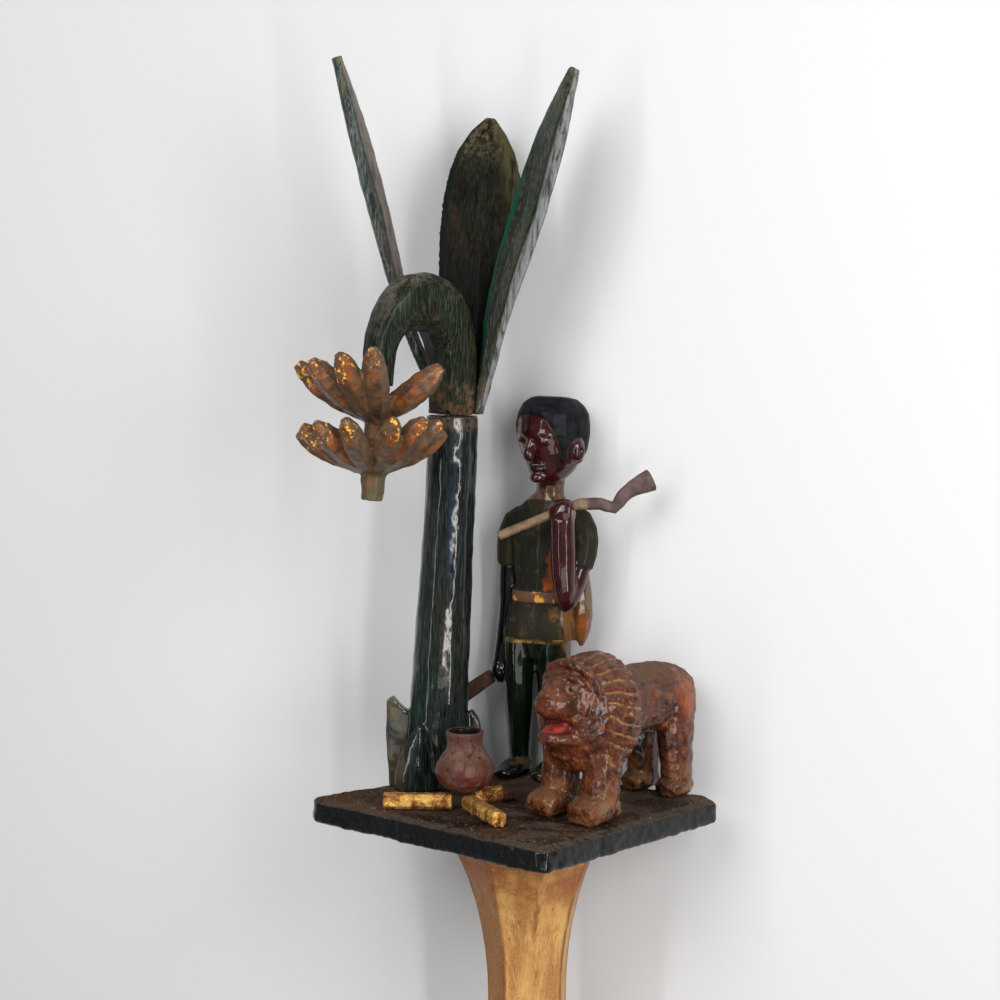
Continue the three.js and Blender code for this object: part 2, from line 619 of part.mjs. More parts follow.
// A point of the hunter's own drawing, in the staff's frame
function onHunter(point) {
  const place = new THREE.Vector3(...point).multiplyScalar(hunterScale);
  place.applyAxisAngle(new THREE.Vector3(0, 0, 1), hunterTurn * degrees);
  return [place.x + hunterPlace[0], place.y + hunterPlace[1], place.z + clearance];
}

// The gun: a round barrel through the left fist and a cranked stock that widens to the butt.
// grow makes the same shape a little larger, as the cutter for the fist.
function gun(grow) {
  const grip = onHunter(fistMiddle);
  const [muzzleX, muzzleY, muzzleLevel] = gunPlace;
  const step = (share, rise, half, deep) => [
    mix(muzzleX, muzzleX + gunLength, share), mix(muzzleY, grip[1] + 5, share), rise,
    half + grow, deep + grow,
  ];
  const gripShare = (grip[0] - muzzleX) / gunLength;
  const gripLevel = grip[2] + 1.2;
  const barrel = limb([
    step(0, muzzleLevel, barrelRadius, barrelRadius),
    step(gripShare, gripLevel, barrelRadius, barrelRadius),
    step(gripShare + 0.13, gripLevel + 2.8, barrelRadius * 1.35, barrelRadius * 1.2),
  ], { across: [0, 0, 1], sides: 8, rows: 5, turn: 22.5 });
  const stock = limb([
    step(gripShare + 0.1, gripLevel + 2.4, 2.8, 2.6),
    step(gripShare + 0.24, gripLevel + 2.5, 3, 2.5),
    step(gripShare + 0.33, gripLevel + 0.6, 3, 2.4),
    step(gripShare + 0.38, gripLevel + 5.4, 3.2, 2.4),
    step(gripShare + 0.45, gripLevel + 9.6, 3.9, 2.5),
    step(1 - 0.02, gripLevel + 13.6, 5.9, 2.7),
  ], { across: [-0.25, 0, 1], sides: 8, rows: 10, squareness: 3.2, turn: 22.5, dome: [0, 1] });
  return joined([barrel, stock]);
}

// The long knife in his right hand: a flat blade that slopes down to the left behind the trunk
function knife(grow) {
  const grip = onHunter(knifeFist);
  const slope = 35;
  const [run, fall] = polar(1, slope);
  const step = (distance, wide, thick) => [
    grip[0] - run * distance, grip[1] + distance * 0.02, grip[2] - fall * distance,
    wide / 2 + grow, thick / 2 + grow,
  ];
  return limb([
    step(-7, knifeWide * 0.62, knifeThick * 1.1),
    step(2, knifeWide * 0.66, knifeThick * 1.1),
    step(7, knifeWide * 0.98, knifeThick),
    step(knifeLength - 10, knifeWide * 1.06, knifeThick * 0.8),
    step(knifeLength - 4, knifeWide * 0.8, knifeThick * 0.7),
    step(knifeLength, knifeWide * 0.3, knifeThick * 0.5),
  ], { across: [0, 0, 1], sides: 8, rows: 8, squareness: 3 });
}

// The lion is drawn 74 high, x towards its tail, then scaled and turned

const lionScale = lionHeight / 74;

const maneShape = [
  [7, 52, 17, 18.6],
  [12, 50.4, 20.4, 23.4],
  [19, 47.8, 23.6, 26.6],
  [27, 45.4, 25.6, 27.6],
  [33.5, 45, 23, 24],
];

function lion() {
  const lengthways = { across: [0, 1, 0] };
  const trunkOfBody = limb([
    [24, 0, 45, 16, 18],
    [38, 0, 46.5, 14.6, 16.4],
    [52, 0, 47, 13.6, 16],
    [66, 0, 46.6, 15, 16],
    [78, 0, 44.6, 14.6, 15.8],
    [86, 0, 41.6, 12, 13],
  ], { ...lengthways, sides: 14, rows: 8, squareness: 2.3, dome: [0, 3] });
  const mane = limb(maneShape.map(([s, level, wide, high]) => [s, 0, level, wide, high]), {
    ...lengthways, sides: 20, rows: 6, dome: [1, 1.5],
  });
  const grooves = [];
  const grooveCount = 22;
  for (let i = 0; i < grooveCount; i += 1) {
    const angle = -60 + (300 * i) / (grooveCount - 1);
    const on = (s, level, wide, high) => {
      const [y, z] = polar(1, angle);
      return [s, y * wide, level + z * high, 0.8, 1.25];
    };
    const [waveY, waveZ] = polar(1, angle + 90);
    grooves.push(limb(maneShape.slice(1).map((one) => on(...one)),
      { across: [0, waveY, waveZ], sides: 4, rows: 4 }));
  }
  const chest = limb([
    [8, 0, 38, 12, 12],
    [16, 0, 35, 15, 16],
    [28, 0, 35, 15, 14],
  ], { ...lengthways, sides: 12, rows: 3, squareness: 2.4, dome: [1, 1] });
  const coat = [trunkOfBody, mane, chest];
  for (const side of [-1, 1]) {
    coat.push(limb([
      [21, side * 10.6, 44, 10, 9.4],
      [18.4, side * 11.6, 28, 9.8, 9],
      [16.4, side * 12, 15, 8.8, 8.4],
      [15, side * 12, 4, 8.4, 8.2],
    ], { sides: 10, rows: 5 }));
    coat.push(limb([
      [22, side * 12, 4.6, 7.4, 5],
      [12, side * 12, 6, 8.2, 6.8],
      [5, side * 12, 5.2, 8.4, 5.8],
      [1, side * 12, 4.4, 7.8, 4.8],
    ], { ...lengthways, sides: 12, rows: 4, squareness: 3, dome: [1, 0.9] }));
    coat.push(limb([
      [75, side * 8, 48, 12.6, 8],
      [73.6, side * 9.2, 36, 12, 8],
      [73.4, side * 10, 22, 9.6, 7],
      [74.6, side * 10, 10, 8.6, 6.8],
      [74.6, side * 10, 3, 8.8, 6.6],
    ], { sides: 10, rows: 6 }));
    coat.push(limb([
      [80, side * 10, 4, 6.2, 4.4],
      [71, side * 10, 5, 6.9, 5.4],
      [65, side * 10, 3.8, 6.4, 4.2],
    ], { ...lengthways, sides: 10, rows: 3, squareness: 2.4, dome: [1.4, 1.4] }));
  }
  const tail = limb([
    [86, 2, 52, 2.6, 2.6],
    [87, 7, 45, 2.3, 2.3],
    [84, 13, 36, 2.2, 2.2],
    [78, 16.4, 30, 2.2, 2.2],
    [72, 17.4, 28, 3, 3],
  ], { across: [0, 0, 1], sides: 8, rows: 7, dome: [1, 2] });
  const face = limb([
    [12, 0, 53, 16, 17],
    [7, 0, 53.6, 15, 16.2],
    [3, 0, 54.4, 12.2, 13.2],
    [1.4, 0, 54.8, 9.4, 10.4],
  ], { ...lengthways, sides: 14, rows: 4, squareness: 2.3, dome: [0, 1.4] });
  const fringe = limb([
    [10.6, -16.4, 57, 1.6, 1.8],
    [8.6, -11, 66.4, 2, 2.2],
    [7.6, 0.2, 70, 2.2, 2.4],
    [8.6, 11, 66.4, 2, 2.2],
    [10.6, 16.4, 57, 1.6, 1.8],
  ], { across: [1, 0, 0], sides: 8, rows: 8 });
  const bridge = limb([
    [8, 0, 60.6, 8, 6.2],
    [1, 0, 59.4, 6.4, 5.6],
    [-4.6, 0, 57, 5.2, 4.6],
    [-8, 0, 55.8, 4.6, 3.6],
  ], { ...lengthways, sides: 10, rows: 5, squareness: 2.4, dome: [0, 1.2] });
  const muzzle = limb([
    [6, 0, 53, 12.4, 7.4],
    [0, 0, 53, 10.6, 6.6],
    [-5, 0, 53.2, 8.6, 5.8],
    [-8.2, 0, 53.6, 6, 4.6],
  ], { ...lengthways, sides: 12, rows: 4, squareness: 2.3, dome: [0, 1.2] });
  const jaw = limb([
    [8, 0, 39, 11.4, 6.4],
    [1, 0, 38, 9.6, 4.8],
    [-4, 0, 38.4, 7.6, 3.6],
    [-7.2, 0, 39, 5.4, 2.6],
  ], { ...lengthways, sides: 12, rows: 5, squareness: 2.2, dome: [0, 1] });
  const mouth = limb([
    [-13, 0, 44.8, 9, 3.4],
    [-5, 0, 44.6, 8.6, 3.1],
    [1.4, 0, 44, 7.4, 2],
  ], { ...lengthways, sides: 10, rows: 3, squareness: 2.2 });
  const tongue = limb([[4, 0, 42, 5, 2.2], [-1, 0, 42.2, 4.8, 2], [-5.4, 0, 42, 3.2, 1.2]], {
    ...lengthways, sides: 8, rows: 3, dome: [0, 0.8],
  });
  const head = joined([face, bridge, muzzle, jaw]).subtract(mouth);
  const parts = [carvedOut(joined(coat), grooves), tail, head, fringe, tongue];
  for (const side of [-1, 1]) {
    parts.push(ball([2.6, side * 7.6, 60.6], [2.2, 2.9, 1.9], 10));
    parts.push(limb([
      [1, side * 2.8, 64, 1.1, 1.2],
      [2.2, side * 7.6, 65, 1.1, 1.2],
      [5, side * 11.6, 62, 0.9, 1],
    ], { across: [1, 0, 0], sides: 6, rows: 3 }));
  }
  return joined(parts)
    .scale([lionScale, lionScale, lionScale])
    .rotate([0, 0, lionTurn])
    .translate([lionPlace[0], lionPlace[1], clearance])
    .subtract(below(clearance));
}

// The pot and its fire

// Outer outline of the pot from the foot up, as radius and height
const potOutline = new THREE.CatmullRomCurve3([
  [potBelly * 0.26, 0],
  [potBelly * 0.76, potHeight * 0.13],
  [potBelly, potHeight * 0.35],
  [potBelly * 0.86, potHeight * 0.54],
  [potNeck * 1.08, potHeight * 0.7],
  [potNeck, potHeight * 0.82],
  [potRim * 0.97, potHeight * 0.95],
].map(([radius, height]) => new THREE.Vector3(radius, height, 0)));

// How high the pot's underside is over its own foot, at a distance from its middle
function potUnderside(radius) {
  const steps = 60;
  for (let i = 0; i <= steps; i += 1) {
    const point = potOutline.getPoint((i / steps) * 0.4);
    if (point.x >= radius) return point.y;
  }
  return 0;
}

const potFootLevel = clearance + logSize + clearance - potUnderside(logInner);

function pot() {
  const outerSteps = 9;
  const outside = potOutline.getPoints(outerSteps).map((p) => new THREE.Vector2(p.x, p.y));
  const lip = [
    new THREE.Vector2(potRim, potHeight * 0.985),
    new THREE.Vector2(potRim - potWall * 0.45, potHeight),
    new THREE.Vector2(potRim - potWall * 1.35, potHeight * 0.985),
  ];
  const inside = outside.slice(1, -1).reverse().map((p) => new THREE.Vector2(p.x - potWall, p.y));
  const floorLevel = potWall * 1.4;
  const inner = inside.filter((p) => p.y > floorLevel + 1);
  inner.push(new THREE.Vector2(potBelly * 0.5, floorLevel));
  inner.push(new THREE.Vector2(0, floorLevel));
  const profile = [new THREE.Vector2(0, 0), ...outside, ...lip, ...inner];
  const geometry = new THREE.LatheGeometry(profile, 18);
  geometry.rotateX(90 * degrees);
  geometry.translate(hearth[0], hearth[1], potFootLevel);
  return solidOf(geometry);
}

const logs = [
  { name: 'firewood_log_left', angle: 176.7, length: 31, aside: 3.8 },
  { name: 'firewood_log_front', angle: -65, length: 33, aside: -0.8 },
  { name: 'firewood_log_right', angle: 17, length: 19, aside: 5.1 },
];

// A log: a short split length with eight uneven flat sides
function firewood({ angle, length, aside }) {
  const half = logSize / 2;
  const [alongX, alongY] = polar(1, angle);
  const spot = (distance, size) => [
    hearth[0] + alongX * distance - alongY * aside,
    hearth[1] + alongY * distance + alongX * aside,
    half + clearance, half * size, half,
  ];
  const log = limb([
    spot(logInner, 1), spot(logInner + length * 0.4, 1.06),
    spot(logInner + length * 0.8, 0.98), spot(logInner + length, 1.02),
  ], { across: [-alongY, alongX, 0], sides: 8, rows: 3, squareness: 2.8, turn: 22.5 });
  return log;
}

// Building the pieces in the upright frame

const staffTipLevel = trunkHeight + leafRise;
const footLevel = staffTipLevel - staffHeight;

addPiece('shaft', shaft(footLevel), finishes.gilt);
addPiece('slab', slab(), finishes.slabPaint);
addPiece('tree_trunk', trunk(), finishes.treePaint);
addPiece('fruit_stalk', stalk(0), finishes.treePaint);
addPiece('leaf_left', leftLeaf(0), finishes.treePaint);
addPiece('leaf_back', backLeaf(0), finishes.treePaint);
addPiece('leaf_right', rightLeaf(0), finishes.treePaint);
addPiece('plantain_bunch', bunch(), finishes.fruitPaint);
addPiece('hunter',
  carvedOut(coarser(placedHunter(hunter())), [gun(clearance), knife(clearance)]),
  finishes.hunterPaint);
addPiece('gun', gun(0), finishes.gunPaint);
addPiece('long_knife', knife(0), finishes.knifePaint);
addPiece('lion', coarser(lion()), finishes.lionPaint);
addPiece('cooking_pot', pot(), finishes.potPaint);
for (const log of logs) addPiece(log.name, firewood(log), finishes.goldLeaf);

// Laying the staff down

const corners = [];
for (const piece of pieces) {
  const spot = piece.geometry.attributes.position;
  for (let i = 0; i < spot.count; i += 1) corners.push(new THREE.Vector3().fromBufferAttribute(spot, i));
}

// Middle of mass of all pieces, taking them as one kind of wood
function middleOfMass() {
  const sum = new THREE.Vector3();
  let volume = 0;
  const [a, b, c] = [new THREE.Vector3(), new THREE.Vector3(), new THREE.Vector3()];
  for (const piece of pieces) {
    const spot = piece.geometry.attributes.position;
    for (let i = 0; i < spot.count; i += 3) {
      a.fromBufferAttribute(spot, i);
      b.fromBufferAttribute(spot, i + 1);
      c.fromBufferAttribute(spot, i + 2);
      const wedge = a.dot(new THREE.Vector3().crossVectors(b, c)) / 6;
      volume += wedge;
      sum.addScaledVector(a.clone().add(b).add(c), wedge / 4);
    }
  }
  return sum.divideScalar(volume);
}

// Turns down about the line through a pivot until the first other corner touches the floor
function tipOver(down, pivot, hinge) {
  const away = new THREE.Vector3().crossVectors(hinge, down).normalize();
  let best = null;
  for (const corner of corners) {
    const reach = corner.clone().sub(pivot);
    const sideways = reach.dot(away);
    const gap = -reach.dot(down);
    if (sideways < 1 || gap < -1e-6) continue;
    const angle = Math.atan2(gap, sideways);
    if (!best || angle < best.angle) best = { angle, corner };
  }
  const turned = down.clone().applyAxisAngle(hinge, best.angle);
  return { down: turned, corner: best.corner };
}

// From lying on its back, the staff rolls over its points of rest until its weight is held
function settle() {
  const mass = middleOfMass();
  let down = new THREE.Vector3(0, 1, 0);
  const first = corners.reduce((low, corner) => (corner.dot(down) > low.dot(down) ? corner : low));
  const toMass = mass.clone().sub(first);
  const hinge = new THREE.Vector3().crossVectors(down, toMass).normalize();
  let step = tipOver(down, first, hinge);
  let feet = [first, step.corner];
  const rolls = 12;
  for (let roll = 0; roll < rolls; roll += 1) {
    down = step.down;
    const edge = feet[1].clone().sub(feet[0]).normalize();
    const side = mass.clone().sub(feet[0]).dot(new THREE.Vector3().crossVectors(edge, down));
    const rollHinge = side > 0 ? edge : edge.clone().negate();
    step = tipOver(down, feet[0], rollHinge);
    const third = step.corner;
    down = step.down;
    const sides = [[feet[0], feet[1], third], [feet[1], third, feet[0]], [third, feet[0], feet[1]]];
    const outside = sides.find(([a, b, c]) => {
      const wall = new THREE.Vector3().crossVectors(b.clone().sub(a), down);
      return wall.dot(mass.clone().sub(a)) * wall.dot(c.clone().sub(a)) < 0;
    });
    if (!outside) break;
    feet = [outside[0], outside[1]];
  }
  return { down, foot: feet[0] };
}

const rest = settle();
const floorUp = rest.down.clone().negate();
const staffWay = new THREE.Vector3(0, 0, 1).addScaledVector(floorUp, -floorUp.z).normalize();
const sideWay = new THREE.Vector3().crossVectors(floorUp, staffWay);
const laying = new THREE.Matrix4().makeBasis(staffWay, sideWay, floorUp).transpose();

const laid = new THREE.Box3();
for (const corner of corners) laid.expandByPoint(corner.clone().applyMatrix4(laying));
const laidMiddle = laid.getCenter(new THREE.Vector3());

const upright = new THREE.Group();
upright.applyMatrix4(laying);
for (const piece of pieces) upright.add(piece);

const staff = new THREE.Group();
upright.position.set(-laidMiddle.x, -laidMiddle.y, -laid.min.z);
staff.add(upright);

export default staff;
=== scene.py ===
# Linguist staff: a gilded octagonal shaft with a carved and painted group on a slab.
import json
import math
import bpy
import numpy as np
from mathutils import Matrix, Vector


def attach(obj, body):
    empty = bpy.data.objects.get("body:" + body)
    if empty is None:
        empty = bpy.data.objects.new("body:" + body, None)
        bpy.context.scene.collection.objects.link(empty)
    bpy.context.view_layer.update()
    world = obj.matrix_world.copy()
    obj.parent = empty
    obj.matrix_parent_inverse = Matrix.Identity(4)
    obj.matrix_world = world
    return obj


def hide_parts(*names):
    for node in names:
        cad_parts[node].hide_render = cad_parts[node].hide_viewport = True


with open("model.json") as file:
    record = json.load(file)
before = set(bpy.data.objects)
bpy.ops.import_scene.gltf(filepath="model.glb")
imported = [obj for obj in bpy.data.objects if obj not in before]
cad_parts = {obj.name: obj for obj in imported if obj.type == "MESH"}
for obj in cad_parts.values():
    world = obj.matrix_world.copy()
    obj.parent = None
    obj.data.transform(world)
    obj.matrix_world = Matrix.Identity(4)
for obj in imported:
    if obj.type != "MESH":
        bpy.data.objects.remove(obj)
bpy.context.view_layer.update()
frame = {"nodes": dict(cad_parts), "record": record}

# How the staff lies
# The staff lies on its back, and its group was carved to be seen upright. The shaft's foot and
# its front side tell how it was laid down, so that forms below can be given as they stand:
# in millimetres from the middle of the slab's top, x to the right, y to the back and z up.

mounts = {mount["name"]: mount for mount in frame["record"]["mounts"]}
staff_up = -Vector(mounts["foot_end"]["axis"])
facet_way = Vector(mounts["shaft_front"]["axis"])
facet_way = (facet_way - staff_up * facet_way.dot(staff_up)).normalized()
facet_side = staff_up.cross(facet_way)
facet_turn = math.radians(12.5)
right_way = facet_side * math.cos(facet_turn) - facet_way * math.sin(facet_turn)
back_way = -facet_way * math.cos(facet_turn) - facet_side * math.sin(facet_turn)
foot_to_top = 1.309
slab_top = Vector(mounts["foot_end"]["pos_m"]) + staff_up * foot_to_top
standing = Matrix((right_way, back_way, staff_up)).transposed()


def lying(x, y, z):
    """A place on the upright staff, in millimetres, as it lies"""
    return slab_top + standing @ (Vector((x, y, z)) / 1000)


# The camera
# It looks down on the lying staff as the eye looks at it upright, a little from above.

tilt = math.radians(6)
look = standing @ Vector((0, math.cos(tilt), -math.sin(tilt)))
rise = standing @ Vector((0, math.sin(tilt), math.cos(tilt)))
eye = bpy.data.cameras.new("camera")
eye.lens = 72
eye.sensor_width = 36
eye.clip_start = 0.05
camera = bpy.data.objects.new("camera", eye)
camera.matrix_world = Matrix.Translation(lying(-12.6, -900, 234)) @ Matrix(
    (look.cross(rise), rise, -look)).transposed().to_4x4()
bpy.context.collection.objects.link(camera)
bpy.context.scene.camera = camera
bpy.context.scene.view_settings.view_transform = "Standard"

# The floor and the studio
# A plain pale floor under the staff, one broad soft box, two weaker ones and two tall strips,
# which draw the long gloss lines on the varnished wood.

bpy.ops.object.select_all(action="DESELECT")
bpy.ops.mesh.primitive_plane_add(size=9, location=(0, 0, -0.0004))
floor = bpy.context.object
floor.name = "studio_floor"
floor_paper = bpy.data.materials.new("floor_paper")
floor_paper.use_nodes = True
floor_shader = floor_paper.node_tree.nodes["Principled BSDF"]
floor_shader.inputs["Base Color"].default_value = (0.62, 0.62, 0.63, 1)
floor_shader.inputs["Roughness"].default_value = 0.9
floor_shader.inputs["Specular IOR Level"].default_value = 0.1
floor.data.materials.append(floor_paper)

studio = bpy.data.worlds.new("studio")
studio.use_nodes = True
studio.node_tree.nodes["Background"].inputs["Color"].default_value = (0.92, 0.96, 1.0, 1)
studio.node_tree.nodes["Background"].inputs["Strength"].default_value = 0.2
bpy.context.scene.world = studio


def soft_box(name, place, aim, wide, tall, power, tint):
    """A softbox at a place on the upright staff's plan, turned to a point of it"""
    light = bpy.data.lights.new(name, "AREA")
    light.shape = "RECTANGLE"
    light.size = wide
    light.size_y = tall
    light.energy = power
    light.color = tint
    box = bpy.data.objects.new(name, light)
    start = lying(*place)
    way = (start - lying(*aim)).normalized()
    across = staff_up.cross(way).normalized()
    turned = Matrix((across, way.cross(across), way)).transposed().to_4x4()
    box.matrix_world = Matrix.Translation(start) @ turned
    bpy.context.collection.objects.link(box)


soft_box("broad_box", (-620, -1000, 900), (-10, 0, 120), 0.8, 0.8, 12, (1.0, 0.98, 0.95))
soft_box("right_box", (640, -880, 420), (-10, 0, 150), 0.35, 0.7, 6.5, (1.0, 0.99, 0.97))
soft_box("tall_strip", (330, -900, 260), (-10, 0, 120), 0.05, 1.1, 4.6, (1.0, 1.0, 1.0))
soft_box("left_strip", (-860, -860, 180), (-10, 0, 120), 0.07, 1.0, 2.4, (1.0, 1.0, 1.0))
soft_box("low_box", (60, -900, -350), (0, 0, 0), 0.7, 0.4, 1.8, (1.0, 0.96, 0.9))

# The shaft
# A length of wood cut to eight flat sides that sweep out under the slab, covered with gold
# leaf that is rubbed thin, scratched round the flare and darker along its edges.


def carved_copy(node, name):
    """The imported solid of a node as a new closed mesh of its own"""
    bpy.ops.object.select_all(action="DESELECT")
    piece = bpy.data.objects.new(name, frame["nodes"][node].data.copy())
    piece.data.materials.clear()
    bpy.context.collection.objects.link(piece)
    bpy.context.view_layer.objects.active = piece
    piece.select_set(True)
    bpy.ops.object.mode_set(mode="EDIT")
    bpy.ops.mesh.select_all(action="SELECT")
    bpy.ops.mesh.remove_doubles(threshold=0.000002)
    bpy.ops.object.mode_set(mode="OBJECT")
    if piece.data.has_custom_normals:
        bpy.ops.mesh.customdata_custom_splitnormals_clear()
    return piece


def settled(piece):
    """Applies what is on the piece, in order"""
    bpy.ops.object.select_all(action="DESELECT")
    bpy.context.view_layer.objects.active = piece
    piece.select_set(True)
    for step in list(piece.modifiers):
        bpy.ops.object.modifier_apply(modifier=step.name)


def stood(piece):
    """The places of the piece's points on the upright staff, in millimetres"""
    places = np.empty(len(piece.data.vertices) * 3)
    piece.data.vertices.foreach_get("co", places)
    return (places.reshape(-1, 3) - np.array(slab_top)) @ np.array(standing) * 1000


def note(piece, name, values):
    """Keeps a number for each point of the piece, for its paint to read"""
    kept = piece.data.attributes.new(name, "FLOAT", "POINT")
    kept.data.foreach_set("value", np.clip(values, -4, 4).astype(np.float32))


def between(low, high, values):
    """0 below low, 1 above high and an even slope between"""
    share = np.clip((values - low) / (high - low), 0, 1)
    return share * share * (3 - 2 * share)


def seen(red, green, blue):
    """A colour as the eye sees it, 0 to 255, for a paint"""
    return tuple((part / 255) ** 2.2 for part in (red, green, blue)) + (1,)


class Paint:
    """A finish for a carved piece, built up from layers"""

    def __init__(self, name, roughness, metal=0.0, varnish=0.0, varnish_roughness=0.1):
        self.material = bpy.data.materials.new(name)
        self.material.use_nodes = True
        self.tree = self.material.node_tree
        self.shader = self.tree.nodes["Principled BSDF"]
        self.shader.inputs["Roughness"].default_value = roughness
        self.shader.inputs["Metallic"].default_value = metal
        self.shader.inputs["Coat Weight"].default_value = varnish
        self.shader.inputs["Coat Roughness"].default_value = varnish_roughness
        self.shader.inputs["Specular IOR Level"].default_value = 0.1 if varnish else 0.5
        self.place = self.tree.nodes.new("ShaderNodeTexCoord").outputs["Object"]
        self.way = self.tree.nodes.new("ShaderNodeNewGeometry").outputs["Normal"]

    def range(self, value, low, high, start=0.0, end=1.0):
        node = self.tree.nodes.new("ShaderNodeMapRange")
        node.interpolation_type = "SMOOTHSTEP"
        for socket, number in zip(("From Min", "From Max", "To Min", "To Max"), (low, high, start, end)):
            node.inputs[socket].default_value = number
        self.tree.links.new(value, node.inputs["Value"])
        return node.outputs["Result"]

    def patches(self, size, low=0.4, high=0.6, stretch=(1, 1, 1), detail=5, rough=0.6, seed=0.0):
        """Cloudy patches of a size in millimetres, longer where stretch is more than 1"""
        mapping = self.tree.nodes.new("ShaderNodeMapping")
        mapping.inputs["Location"].default_value = (seed, seed * 0.7, -seed)
        mapping.inputs["Scale"].default_value = tuple(1000 / (size * part) for part in stretch)
        self.tree.links.new(self.place, mapping.inputs["Vector"])
        noise = self.tree.nodes.new("ShaderNodeTexNoise")
        noise.inputs["Scale"].default_value = 1
        noise.inputs["Detail"].default_value = detail
        noise.inputs["Roughness"].default_value = rough
        self.tree.links.new(mapping.outputs["Vector"], noise.inputs["Vector"])
        return self.range(noise.outputs["Fac"], low, high)

    def noted(self, name, low=0.0, high=1.0):
        """What note() kept on the piece"""
        node = self.tree.nodes.new("ShaderNodeAttribute")
        node.attribute_name = name
        return self.range(node.outputs["Fac"], low, high)

    def facing(self, way, low, high):
        """1 where the surface faces a way"""
        node = self.tree.nodes.new("ShaderNodeVectorMath")
        node.operation = "DOT_PRODUCT"
        node.inputs[1].default_value = way
        self.tree.links.new(self.way, node.inputs[0])
        return self.range(node.outputs["Value"], low, high)

    def math(self, kind, first, second):
        node = self.tree.nodes.new("ShaderNodeMath")
        node.operation = kind
        for socket, value in zip(node.inputs, (first, second)):
            if isinstance(value, (int, float)):
                socket.default_value = value
            else:
                self.tree.links.new(value, socket)
        return node.outputs["Value"]

    def both(self, first, second):
        return self.math("MULTIPLY", first, second)

    def either(self, first, second):
        return self.math("MAXIMUM", first, second)

    def over(self, under, layer, *shares):
        """A layer over another where all the shares are, each a colour or what came before"""
        share = shares[0]
        for other in shares[1:]:
            share = self.both(share, other)
        node = self.tree.nodes.new("ShaderNodeMix")
        node.data_type = "RGBA"
        self.tree.links.new(share, node.inputs["Factor"])
        for socket, value in ((node.inputs[6], under), (node.inputs[7], layer)):
            if isinstance(value, tuple):
                socket.default_value = value
            else:
                self.tree.links.new(value, socket)
        return node.outputs[2]

    def set(self, socket, value):
        self.tree.links.new(value, self.shader.inputs[socket])

    def relief(self, *heights):
        """Fine relief, each with what it follows and its height in millimetres"""
        before = None
        for value, height in heights:
            bump = self.tree.nodes.new("ShaderNodeBump")
            bump.inputs["Strength"].default_value = 1
            bump.inputs["Distance"].default_value = height / 1000
            self.tree.links.new(value, bump.inputs["Height"])
            if before:
                self.tree.links.new(before, bump.inputs["Normal"])
            before = bump.outputs["Normal"]
        self.tree.links.new(before, self.shader.inputs["Normal"])


def hand_in(piece, node, paint):
    """The finished piece takes its paint, stands for its node and rides with the staff"""
    piece.data.materials.append(paint.material)
    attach(piece, "root")
    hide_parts(node)


shaft = carved_copy("shaft", "gilded_shaft")
bpy.ops.object.mode_set(mode="EDIT")
bpy.ops.mesh.select_all(action="SELECT")
bpy.ops.mesh.dissolve_limited(angle_limit=math.radians(0.5))
bpy.ops.object.mode_set(mode="OBJECT")
bevel = shaft.modifiers.new("rubbed_edges", "BEVEL")
bevel.width = 0.0006
bevel.segments = 2
bevel.limit_method = "ANGLE"
bevel.angle_limit = math.radians(20)
settled(shaft)
bpy.ops.object.mode_set(mode="EDIT")
bpy.ops.mesh.select_all(action="SELECT")
bpy.ops.mesh.subdivide(number_cuts=9)
bpy.ops.object.mode_set(mode="OBJECT")
bpy.ops.object.shade_smooth_by_angle(angle=math.radians(14))
where = stood(shaft)
round_way = np.degrees(np.arctan2(where[:, 1], where[:, 0]))
first_edge = 22.5 - math.degrees(facet_turn)
facet = (round_way - first_edge) % 45
to_edge = np.radians(np.minimum(facet, 45 - facet)) * np.hypot(where[:, 0], where[:, 1])
note(shaft, "flare", between(-95, -20, where[:, 2]))
note(shaft, "edge", between(1.2, 0.3, to_edge))
note(shaft, "left_side_shade", between(-120, -126, round_way) + between(100, 110, round_way))

leaf_gold = Paint("rubbed_gold_leaf", 0.45, metal=0.38)
gold = leaf_gold.over(seen(170, 118, 66), seen(214, 164, 96), leaf_gold.patches(9, 0.38, 0.66, (5, 1, 1)))
gold = leaf_gold.over(gold, seen(146, 94, 54), leaf_gold.patches(45, 0.5, 0.72, (2, 1, 1), seed=3.0))
# The facets on the left side are painted a duller brown: painted shade.
gold = leaf_gold.over(
    gold, seen(154, 104, 60), leaf_gold.noted("left_side_shade"), leaf_gold.patches(14, 0.2, 0.5, (3, 1, 1)))
gold = leaf_gold.over(
    gold, seen(156, 92, 50), leaf_gold.noted("flare", 0.45, 1.0),
    leaf_gold.patches(14, 0.36, 0.6, (1, 4, 4)))
gold = leaf_gold.over(gold, seen(214, 164, 96), leaf_gold.patches(0.9, 0.54, 0.78, (1.5, 1, 1), seed=8.0))
gold = leaf_gold.over(gold, seen(128, 82, 46), leaf_gold.patches(1.4, 0.56, 0.74, (4, 1, 1), seed=9.0))
gold = leaf_gold.over(
    gold, seen(130, 86, 50), leaf_gold.noted("edge"), leaf_gold.patches(4, 0.4, 0.62, (4, 1, 1)))
leaf_gold.set("Base Color", gold)
leaf_gold.set("Roughness", leaf_gold.range(leaf_gold.patches(5, 0.3, 0.7, (3, 1, 1)), 0, 1, 0.36, 0.62))
leaf_gold.relief(
    (leaf_gold.patches(1.4, 0.3, 0.7, (3, 1, 1)), 0.2), (leaf_gold.patches(0.7, 0.3, 0.7), 0.12))
hand_in(shaft, "shaft", leaf_gold)
